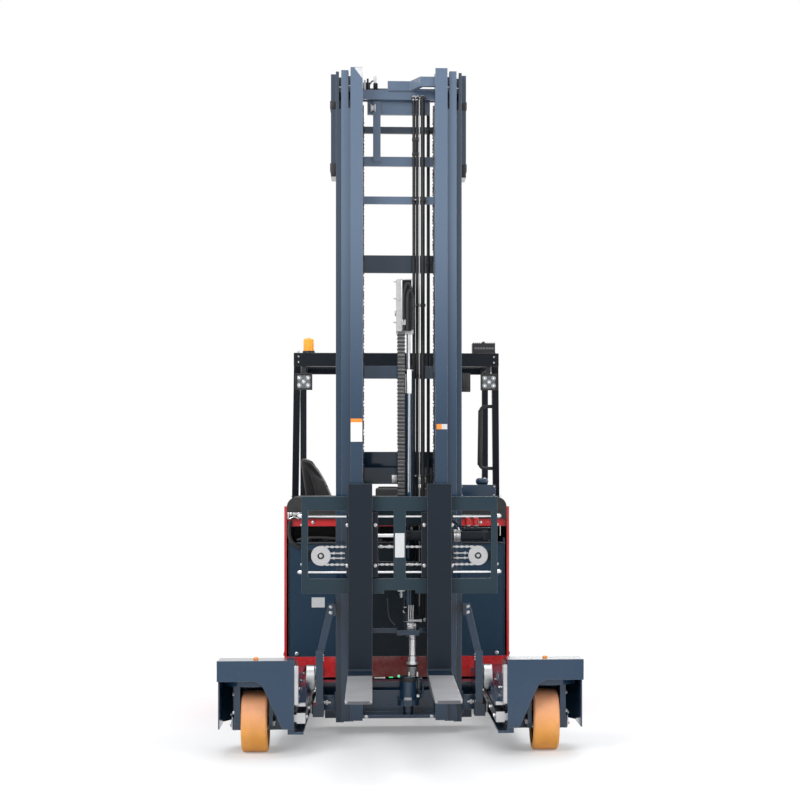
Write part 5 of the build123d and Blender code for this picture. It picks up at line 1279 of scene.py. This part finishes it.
class REACH_OT_seat(bpy.types.Operator):
    """Makes the seat's two pads, their piping, the belt and the armrest"""
    bl_idname = "reach.seat"
    bl_label = "Seat"

    def execute(self, context):
        cushion = self.pad((-456, -76, 1810, 2250, 862, 944), "Z", 862)
        self.channels(cushion, "Z", (-330, -205), 1920, 2140)
        bead = self.piping(cushion, 0, 1, 2, 0.912)
        back = self.pad((-446, -372, 1826, 2234, 982, 1440), "X", -446)
        self.channels(back, "X", (1130, 1270), 1920, 2140)
        edge = self.piping(back, 1, 2, 0, -0.404)
        # height, rear face, thickness
        shape = [(0.90, -0.489, 0.140), (1.215, -0.534, 0.146), (1.30, -0.546, 0.122),
                 (1.38, -0.558, 0.086), (1.52, -0.578, 0.070)]
        for piece in (back, edge):
            for corner in piece.data.vertices:
                for (z0, rear0, thick0), (z1, rear1, thick1) in zip(shape, shape[1:]):
                    if z0 <= corner.co.z <= z1:
                        t = (corner.co.z - z0) / (z1 - z0)
                        rear, thick = rear0 + t * (rear1 - rear0), thick0 + t * (thick1 - thick0)
                        corner.co.x = rear + (corner.co.x + 0.446) / 0.098 * thick
                        break
        for piece, name, node in ((cushion, "seat_cushion_cover", "seat_cushion"),
                                  (back, "seat_back_cover", "seat_back")):
            fitted(name, [piece], "seat_fabric", "chassis", angle=180)
            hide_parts(node)
        fitted("seat_piping", [bead, edge], "black_plastic", "chassis")
        self.trim()
        return {"FINISHED"}

    def pad(self, box, flat, rest):
        """Swells a block into a pad by cloth pressure; one side rests flat."""
        piece = block(*box, 26, 4)
        only(piece)
        mesher = piece.modifiers.new("remesh", "REMESH")
        mesher.mode = "VOXEL"
        mesher.voxel_size = PAD_VOXEL
        bpy.ops.object.modifier_apply(modifier=mesher.name)
        axis = "XYZ".index(flat)
        level = rest / 1000 - (SHIFT if axis == 1 else 0)
        held = piece.vertex_groups.new(name="held")
        start = [v.co.copy() for v in piece.data.vertices]
        held.add([i for i, co in enumerate(start) if co[axis] < level + 0.014], 1.0, "REPLACE")
        cloth = piece.modifiers.new("cloth", "CLOTH")
        cloth.settings.use_pressure = True
        cloth.settings.uniform_pressure_force = 4.0
        cloth.settings.effector_weights.gravity = 0
        cloth.settings.vertex_group_mass = "held"
        for frame_number in range(1, PAD_FRAMES + 1):
            bpy.context.scene.frame_set(frame_number)
        only(piece)
        bpy.ops.object.modifier_apply(modifier=cloth.name)
        bpy.context.scene.frame_set(1)
        for corner, old in zip(piece.data.vertices, start):
            moved = corner.co - old
            if moved.length > PAD_SWELL:
                corner.co = old + moved.normalized() * PAD_SWELL
        finer = piece.modifiers.new("finer", "SUBSURF")
        finer.levels = finer.render_levels = 1
        bpy.ops.object.modifier_apply(modifier=finer.name)
        return piece

    def channels(self, piece, flat, levels, low, high):
        """Presses sewn channels into the pad, across and along it."""
        axis = "XYZ".index(flat)
        other = 0 if axis == 2 else 2
        top = max(v.co[axis] for v in piece.data.vertices)
        for corner in piece.data.vertices:
            depth = top - corner.co[axis]
            if depth > CHANNEL_FADE:
                continue
            away = [corner.co.y - side / 1000 + SHIFT for side in (low, high)]
            if away[0] > 0 > away[1]:
                away += [corner.co[other] - level / 1000 for level in levels]
            sunk = max(math.exp(-(gap / CHANNEL_WIDTH) ** 2) for gap in away)
            corner.co[axis] -= CHANNEL_DEPTH * sunk * (1 - depth / CHANNEL_FADE)

    def piping(self, piece, across, up, normal, level):
        """A sewn bead that follows the pad's outline at one level."""
        near = [v.co for v in piece.data.vertices if abs(v.co[normal] - level) < 0.006]
        middle = [sum(co[i] for co in near) / len(near) for i in range(3)]
        rim = {}
        for co in near:
            a, b = co[across] - middle[across], co[up] - middle[up]
            slot = int((math.atan2(b, a) + math.pi) / (2 * math.pi) * 72) % 72
            if slot not in rim or math.hypot(a, b) > rim[slot][0]:
                rim[slot] = (math.hypot(a, b), co.copy())
        points = [rim[key][1] for key in sorted(rim)]
        line = []
        for co in points:
            co[normal] = level
            line.append((co.x * 1000, (co.y + SHIFT) * 1000, co.z * 1000))
        return pipe(line + [line[0]], 3.6, 8, smooth=False)

    def trim(self):
        """Back shell, runners, armrest, belt and buckle."""
        shell = [block(-486, -448, 1850, 2210, 968, 1080, 8, 3),
                 block(-470, -60, 1800, 1812, 806, 862, 4),
                 block(-470, -60, 2248, 2260, 806, 862, 4),
                 block(-260, -180, 2262, 2290, 880, 960, 6, 3),
                 block(-400, -130, 2262, 2312, 1050, 1092, 18, 4),
                 block(-420, -385, 2264, 2292, 900, 1085, 6, 3)]
        fitted("seat_trim", shell, "black_plastic", "chassis")
        belt = [ribbon([(-470, 1792, 900), (-430, 1786, 960), (-400, 1800, 990), (-380, 1850, 996),
                        (-360, 1960, 990), (-345, 2080, 990), (-350, 2190, 996), (-380, 2256, 990),
                        (-400, 2276, 940)], 46, 1.4)]
        fitted("seat_belt", belt, "seat_fabric", "chassis")
        buckle = [block(-425, -385, 2262, 2284, 905, 965, 4, 3),
                  block(-492, -452, 1776, 1800, 850, 910, 4, 3)]
        fitted("belt_buckle", buckle, "black_plastic", "chassis")
        fitted("belt_button", [block(-418, -392, 2284, 2286, 940, 958, 1.0)], None, "chassis",
               "red_cap")


class REACH_OT_cab(bpy.types.Operator):
    """Adds the lamps' diodes, the beacon's foot, the controls, the mat and the handle's grip"""
    bl_idname = "reach.cab"
    bl_label = "Cab fittings"

    def execute(self, context):
        self.lamps()
        self.controls()
        self.floor()
        self.guard()
        return {"FINISHED"}

    def lamps(self):
        bezel = [block(482, 576, 1392, 1396, z0, z1, 1.5) for z0,
                 z1 in ((1829, 1836), (1917, 1924))]
        bezel += [block(x, x + 7, 1392, 1396, 1829, 1924, 1.5) for x in (480, 571)]
        bezel += [block(486 + 11 * i, 490 + 11 * i, 1452, 1466, 1836, 1918, 1.0) for i in range(8)]
        fitted("lamp_bezels", both(bezel), "black_plastic", "chassis")
        glass = [block(488, 570, 1396.5, 1398.5, 1837, 1916, 0.6, 1)]
        fitted("lamp_reflectors", both(glass), None, "chassis", "lamp_bowl")
        spots = [(529, 1876), (504, 1855), (554, 1855), (504, 1898), (554, 1898)]
        diodes = [turned((x, 1396.5, z), "-Y", [(0, 13), (1.5, 13), (3, 9), (3.6, 4)], 20)
                  for x, z in spots]
        fitted("lamp_diodes", both(diodes), None, "chassis", "reflector")
        cores = [turned((x, 1393, z), "-Y", [(0, 4.5), (0.6, 4), (1, 2)], 12) for x, z in spots]
        fitted("lamp_cores", both(cores), None, "chassis", "led")
        relay = [block(375, 425, 1436, 1470, 1822, 1930, 3.0),
                 block(381, 419, 1432, 1437, 1846, 1906, 1.5)]
        fitted("lamp_relay", relay, "black_plastic", "chassis")
        base = [turned((BEACON_X, BEACON_Y, 2044), "+Z",
                       [(0, 35), (8, 36), (12, 34), (12, 31.5)], 36),
                turned((BEACON_X, BEACON_Y, 2128), "+Z", [(0, 12), (3, 11), (4, 6)], 24)]
        fitted("beacon_base", base[:1], "black_plastic", "chassis")
        fitted("beacon_cap", base[1:], "amber", "chassis")
        rings = [turned((BEACON_X, BEACON_Y, z), "+Z", [(0, 31), (1, 32), (2.5, 32), (3.5, 31)], 36)
                 for z in range(2064, 2120, 9)]
        fitted("beacon_ribs", rings, "amber", "chassis")
        fins = [block(441 + 12 * i, 445 + 12 * i, 1452, 1548, 2050, 2107, 1.0) for i in range(11)]
        fins += [block(436, 570, 1446, 1450, 2044, 2050, 1.5),
                 block(496, 512, 1500, 1520, 2100, 2116, 4.0)]
        fitted("roof_lamp_fins", fins, "black_plastic", "chassis")
        diodes = [turned((454 + 16.3 * i, 1449, 2073), "-Y", [(0, 7), (1, 7), (2, 4)], 14)
                  for i in range(7)]
        fitted("roof_lamp_diodes", diodes, None, "chassis", "lamp_bowl")

    def controls(self):
        gaiters = [turned((x, 1680, 1266), "+Z",
                          [(0, 19), (3, 19), (5, 16), (8, 18), (11, 14), (14, 16),
                           (17, 12), (20, 14), (23, 9), (30, 6.5)], 20)
                   for x in LEVERS_X]
        gaiters += [turned((x, 1680, 1352), "+Z", [(0, 11), (3, 10), (5, 6)], 16)
                    for x in LEVERS_X]
        gaiters += [block(-104, 14, 1652, 1738, 1266, 1274, 3.0)]
        fitted("lever_gaiters", gaiters, "black_rubber", "chassis")
        fitted("console_screen", [block(-96, 6, 1660, 1730, 1272, 1275, 1.0)], None, "chassis",
               "screen")
        knobs = [turned((200, 1665, 1267), "+Z",
                        [(0, 15), (6, 15), (8, 12), (20, 12), (22, 9)], 24)]
        fitted("stop_button", knobs, None, "chassis", "red_cap")
        keys = [turned((200, 1722, 1267), "+Z",
                       [(0, 11), (5, 11), (6, 8), (6, 3), (14, 3), (15, 2)], 20)]
        keys += [turned((x, 1655, 1267), "+Z", [(0, 5), (3, 5), (4, 3)], 12) for x in (40, 62, 84)]
        fitted("console_keys", keys, "bright_steel", "chassis")
        hub = [turned((150, 2275, 1062), "+Z",
                      [(0, 24), (4, 26), (9, 24), (12, 16), (12.6, 8)], 32)]
        fitted("handwheel_cap", hub, "black_plastic", "steering_wheel")
        top = [block(20, 480, 2178, 2184, 700, 930, 2.0), block(20, 480, 2178, 2186, 520, 524, 1.0),
               block(330, 470, 2200, 2390, 958, 966, 3.0),
               block(345, 455, 2215, 2375, 964, 972, 4.0)]
        fitted("console_lids", top, "black_plastic", "chassis")

    def floor(self):
        fitted("floor_mat", [block(8, 606, 1700, 2160, 411.5, 416, 1.5)], None, "chassis", "mat")
        pads = []
        for x0, x1 in ((165, 235), (295, 365), (425, 515)):
            pads.append(block(x0 + 3, x1 - 3, 1889, 2031, 445, 449, 1.5))
            pads += [block(x0 + 7, x1 - 7, 1900 + 16 * i, 1907 + 16 * i, 448, 452, 1.2)
                     for i in range(8)]
        fitted("pedal_pads", pads, "black_rubber", "chassis")

    def guard(self):
        grip = [pipe([(490, 1551, 1718), (490, 1570, 1640), (490, 1590, 1561), (490, 1610, 1480),
                      (490, 1630, 1402)], 14, 16)]
        fitted("handle_grip", grip, "black_plastic", "chassis")
        heads = screws(bolt, 17, [(s * 560, y, 2044, "+Z") for s in (-1, 1)
                                  for y in (1470, 2380)])
        heads += screws(socket_screw, 5, [(s * x, 1440, z, "-Y") for s in (-1, 1)
                                          for x in (300, 560) for z in (1990, 2022)])
        fitted("guard_bolts", heads, "bright_steel", "chassis")


class REACH_OT_body(bpy.types.Operator):
    """Adds the body's seams, latches, grilles, lamps, bumper, tow pin and battery fittings"""
    bl_idname = "reach.body"
    bl_label = "Body fittings"

    def execute(self, context):
        self.doors()
        self.rear()
        self.battery()
        self.bonnet()
        return {"FINISHED"}

    def doors(self):
        """Seam, hinges and latch of each side door, and the vent beside it."""
        seams, metal, slats = [], [], []
        for s in (1, -1):
            x = s * 630.6
            front, rear = (1500, 2290) if s < 0 else (1262, 1560)
            corners = [(x, front, 380), (x, rear, 380), (x, rear, 1100), (x, front, 1100),
                       (x, front, 380)]
            seams.append(pipe(corners, 1.6, 6, smooth=False))
            out = aim_x(s)
            metal += [turned((s * 631, rear - 40, z), out, [(0, 16), (1.5, 16), (2.5, 14), (2.5, 7),
                                                            (1, 6)], 24) for z in (520, 960)]
            metal += screws(socket_screw, 5,
                            [(s * 631, y, 350, out) for y in range(1260, 2300, 170)])
            a, b = span(s, 630.5, 636)
            if s < 0:
                slats += [block(a, b, 1600, 1900, 440 + 22 * i, 449 + 22 * i, 2.0)
                          for i in range(10)]
                slats += [block(a, b, y, y + 8, 432, 656, 2.0) for y in (1592, 1900)]
            slats += [block(a, b, front + 18, front + 30, z, z + 70, 2.0) for z in (450, 950)]
            slats.append(block(*span(s, 630, 637), 1240, 2330, 332, 346, 3.0))
        fitted("door_seams", seams, None, "chassis", "black_cap")
        fitted("door_latches", metal, "bright_steel", "chassis")
        fitted("door_vents", slats, "black_plastic", "chassis")

    def rear(self):
        slats = [block(-230, 230, 2438, 2446, 700 + 24 * i, 712 + 24 * i, 3.0) for i in range(8)]
        slats += [block(x, x + 10, 2438, 2448, 690, 894, 3.0) for x in (-240, 230)]
        slats += [block(-240, 240, 2438, 2448, z, z + 10, 3.0) for z in (684, 890)]
        slats += [block(-500, 500, 2436, 2456, 350, 420, 9.0, 3)]
        slats += [block(x - 48, x + 48, 2438, 2450, 1030, 1112, 6.0, 3) for x in (-440, 440)]
        fitted("rear_grille", slats, "black_plastic", "chassis")
        # name, across from the lamp's middle, rear face, heights, slot, finish
        table = [("tail_lenses", -41, 41, 2456, 1072, 1105, None, "tail_lens"),
                 ("turn_lenses", -41, -2, 2455, 1037, 1068, "amber", None),
                 ("reversing_lenses", 2, 41, 2455, 1037, 1068, None, "reflector")]
        for name, left, right, face, z0, z1, slot, finish in table:
            lens = [block(x + left, x + right, 2448, face, z0, z1, 4.0, 3) for x in (-440, 440)]
            fitted(name, lens, slot, "chassis", finish)
        tow = [block(-50, 50, 2436, 2470, 262, 276, 4.0), block(-50, 50, 2436, 2470, 206, 220, 4.0),
               turned((0, 2452, 196), "+Z", [(0, 11), (92, 11), (92, 17), (98, 17), (100, 14)], 24)]
        fitted("tow_pin", tow, "black_paint", "chassis")
        seams = [pipe([(-505, 2440.3, 560), (505, 2440.3, 560)], 1.6, 6)]
        seams += [pipe([(x, 2440.3, 565), (x, 2440.3, 1160)], 1.6, 6) for x in (-330, 330)]
        fitted("rear_seams", seams, None, "chassis", "black_cap")
        metal = [turned((x, 2440, z), "+Y", [(0, 15), (1.5, 15), (2.5, 13), (2.5, 6), (1, 5)], 24)
                 for x in (-300, 300) for z in (620, 1120)]
        metal += screws(socket_screw, 6, [(x, 2456, 385, "+Y") for x in (-440, -220, 0, 220, 440)])
        fitted("rear_latches", metal, "bright_steel", "chassis")

    def battery(self):
        """Cell caps, cables, the plug and its bracket on top of the battery."""
        cell = joined([turned((-500, 1300, 968), "+Z",
                              [(0, 24), (5, 24), (8, 20), (14, 20), (16, 15)],
                              16), block(-545, -455, 1262, 1338, 966, 971, 2.0)])
        cells = [cell] + [copied(cell, across=100 * i, back=84 * j) for i in range(11)
                          for j in range(4)
                          if i or j]
        fitted("battery_cells", cells, "black_plastic", "chassis")
        cables = [pipe([(-598, 1222, 1088), (-606, 1214, 1040), (-600, 1208, 990),
                        (-575, 1208, 955),
                        (-545, 1212, 936)], 11),
                  pipe([(-560, 1240, 980), (-500, 1235, 1000), (-300, 1240, 985),
                        (-100, 1250, 975)], 9)]
        fitted("battery_cables", cables, "black_rubber", "chassis")
        lever = [block(-612, -534, 1206, 1214, 1118, 1136, 2.0),
                 block(-612, -600, 1204, 1214, 1098, 1138, 2.0),
                 pipe([(-600, 1206, 1100), (-575, 1204, 1122), (-550, 1204, 1100)], 4)]
        lever += screws(bolt, 13, [(x, 1206, 1127, "-Y") for x in (-590, -548)])
        fitted("plug_lever", lever, "bright_steel", "chassis")
        # painted shade: black strips along the battery's sides and top stand in for the shaded gaps
        # round it
        gap_shade_strips = [block(x - 3, x + 3, 1217.5, 1220.5, 335, 960, 1.0) for x in (-604, 604)]
        gap_shade_strips += [block(-600, 600, 1217.5, 1220.5, 955, 966, 1.0)]
        fitted("battery_gap_shade", gap_shade_strips, "black_paint", "chassis")
        heads = screws(bolt, 13, [(x, 1240, 1079, "-Y") for x in (-470, -120, 120, 470)])
        heads += screws(bolt, 15, [(x, 1220, 345, "-Y") for x in (-560, 560)])
        fitted("battery_screws", heads, "bright_steel", "chassis")

    def bonnet(self):
        seams = [pipe([(-605, 1455, 1222.2), (605, 1455, 1222.2)], 1.6, 6),
                 pipe([(0, 1225, 1222.2), (0, 1640, 1222.2)], 1.6, 6)]
        fitted("bonnet_seams", seams, None, "chassis", "black_cap")
        parts = [block(x - 60, x + 60, 1330, 1350, 1221, 1226, 2.0) for x in (-300, 180)]
        fitted("bonnet_grips", parts, "black_plastic", "chassis")
        knob = [block(448, 520, 1300, 1345, 1289, 1328, 17, 3)]
        fitted("terminal_knob", knob, "slate_paint", "chassis")
        heads = screws(socket_screw, 5,
                       [(x, 1280, z, "-Y") for x in (366, 550) for z in (1232, 1280)])
        fitted("terminal_screws", heads, "bright_steel", "chassis")


class REACH_OT_stage(bpy.types.Operator):
    """Adds the pale floor, the soft studio lamps and the camera"""
    bl_idname = "reach.stage"
    bl_label = "Stage"

    def execute(self, context):
        self.floor()
        self.world(context)
        self.lamps()
        self.camera(context)
        return {"FINISHED"}

    def floor(self):
        bpy.ops.object.select_all(action="DESELECT")
        bpy.ops.mesh.primitive_circle_add(vertices=96, radius=60, fill_type="NGON")
        ground = bpy.context.object
        ground.name = "floor"
        f = Finish("Pale floor", Roughness=0.85, Specular_IOR_Level=0.2)
        grain = f.noise(60.0, 4.0)
        f.colour(f.blend(grain, (0.86, 0.86, 0.86), (0.90, 0.90, 0.90)))
        reach = f.node("ShaderNodeVectorMath", {"operation": "LENGTH"},
                       f.stretched(0.8, 0.5, 0.0), every=True)[-1]
        far = reach.between(0.9, 2.6)
        white = f.node("ShaderNodeEmission", {}, (1.0, 1.0, 1.0, 1.0), 1.0)
        path = f.tree.nodes.new("ShaderNodeLightPath")
        seen = Wire(f, path.outputs["Is Camera Ray"]).at_least(
            Wire(f, path.outputs["Is Glossy Ray"]))
        mixed = f.node("ShaderNodeMixShader", {}, (far * 0.75 + 0.25) * seen,
                       Wire(f, f.shader.outputs[0]), white)
        f.tree.links.new(mixed.socket, f.output.inputs[0])
        ground.data.materials.append(f.material)

    def world(self, context):
        world = bpy.data.worlds.new("Studio")
        context.scene.world = world
        world.use_nodes = True
        tree = world.node_tree
        tree.nodes.clear()
        output = tree.nodes.new("ShaderNodeOutputWorld")
        lit, seen = (tree.nodes.new("ShaderNodeBackground") for _ in range(2))
        lit.inputs["Color"].default_value = (0.93, 0.96, 1.0, 1.0)
        lit.inputs["Strength"].default_value = 0.55
        path = tree.nodes.new("ShaderNodeLightPath")
        either, bright = (tree.nodes.new("ShaderNodeMath") for _ in range(2))
        either.operation = bright.operation = "MAXIMUM"
        tree.links.new(path.outputs["Is Camera Ray"], bright.inputs[0])
        tree.links.new(path.outputs["Is Glossy Ray"], bright.inputs[1])
        tree.links.new(bright.outputs[0], either.inputs[0])
        tree.links.new(path.outputs["Is Transmission Ray"], either.inputs[1])
        mix = tree.nodes.new("ShaderNodeMixShader")
        tree.links.new(either.outputs[0], mix.inputs[0])
        tree.links.new(lit.outputs[0], mix.inputs[1])
        tree.links.new(seen.outputs[0], mix.inputs[2])
        seen.inputs["Color"].default_value = (1.0, 1.0, 1.0, 1.0)
        tree.links.new(mix.outputs[0], output.inputs[0])

    def lamps(self):
        # name, place, aim, size, power
        table = [
            ("key", (-4.5, -6.5, 5.5), (0, 0, 1.4), 4.0, 420),
            ("fill", (6.0, -5.0, 3.0), (0, 0, 1.2), 4.5, 230),
            ("top", (0.0, 1.0, 8.0), (0, 0, 0), 6.0, 300),
            ("rim", (2.5, 8.0, 4.5), (0, 0, 1.6), 4.0, 260),
        ]
        for name, at, aim, size, power in table:
            bpy.ops.object.light_add(type="AREA", location=at)
            lamp = bpy.context.object
            lamp.name = name
            lamp.data.size = size
            lamp.data.energy = power
            lamp.rotation_euler = (Vector(aim) - Vector(at)).to_track_quat("-Z", "Y").to_euler()

    def camera(self, context):
        bpy.ops.object.camera_add(location=(CAMERA_X, -SHIFT - CAMERA_DISTANCE, CAMERA_Z),
                                  rotation=(math.radians(90), 0, math.radians(CAMERA_TURN)))
        camera = context.object
        camera.data.sensor_width = SENSOR_WIDTH
        camera.data.lens = FOCAL_LENGTH / PHOTO_SIDE * SENSOR_WIDTH
        camera.data.shift_x, camera.data.shift_y = LENS_SHIFT
        camera.data.clip_end = 200
        context.scene.camera = camera


class REACH_PT_panel(bpy.types.Panel):
    """Lists the steps that dress the truck"""
    bl_idname = "REACH_PT_panel"
    bl_label = "Reach truck"
    bl_space_type = "VIEW_3D"
    bl_region_type = "UI"
    bl_category = "Reach truck"

    def draw(self, context):
        for step in steps:
            self.layout.operator(step.bl_idname)
        colours = context.scene.truck_colours
        for name in colours.bl_rna.properties.keys():
            if name not in ("rna_type", "name"):
                self.layout.prop(colours, name)


steps = [REACH_OT_paint_frame, REACH_OT_outer_rails, REACH_OT_carriage_fittings,
         REACH_OT_chain_pins, REACH_OT_mast_top, REACH_OT_mast_labels, REACH_OT_mast_foot,
         REACH_OT_running_gear, REACH_OT_seat, REACH_OT_cab, REACH_OT_body, REACH_OT_stage]
classes = [TruckColours, *steps, REACH_PT_panel]


def register():
    for item in classes:
        bpy.utils.register_class(item)
    bpy.types.Scene.truck_colours = bpy.props.PointerProperty(type=TruckColours)


def unregister():
    del bpy.types.Scene.truck_colours
    for item in reversed(classes):
        bpy.utils.unregister_class(item)


def main():
    register()
    bpy.context.scene.view_settings.view_transform = "Standard"
    for step in steps:
        group, name = step.bl_idname.split(".")
        getattr(getattr(bpy.ops, group), name)()


if __name__ == "__main__":
    main()
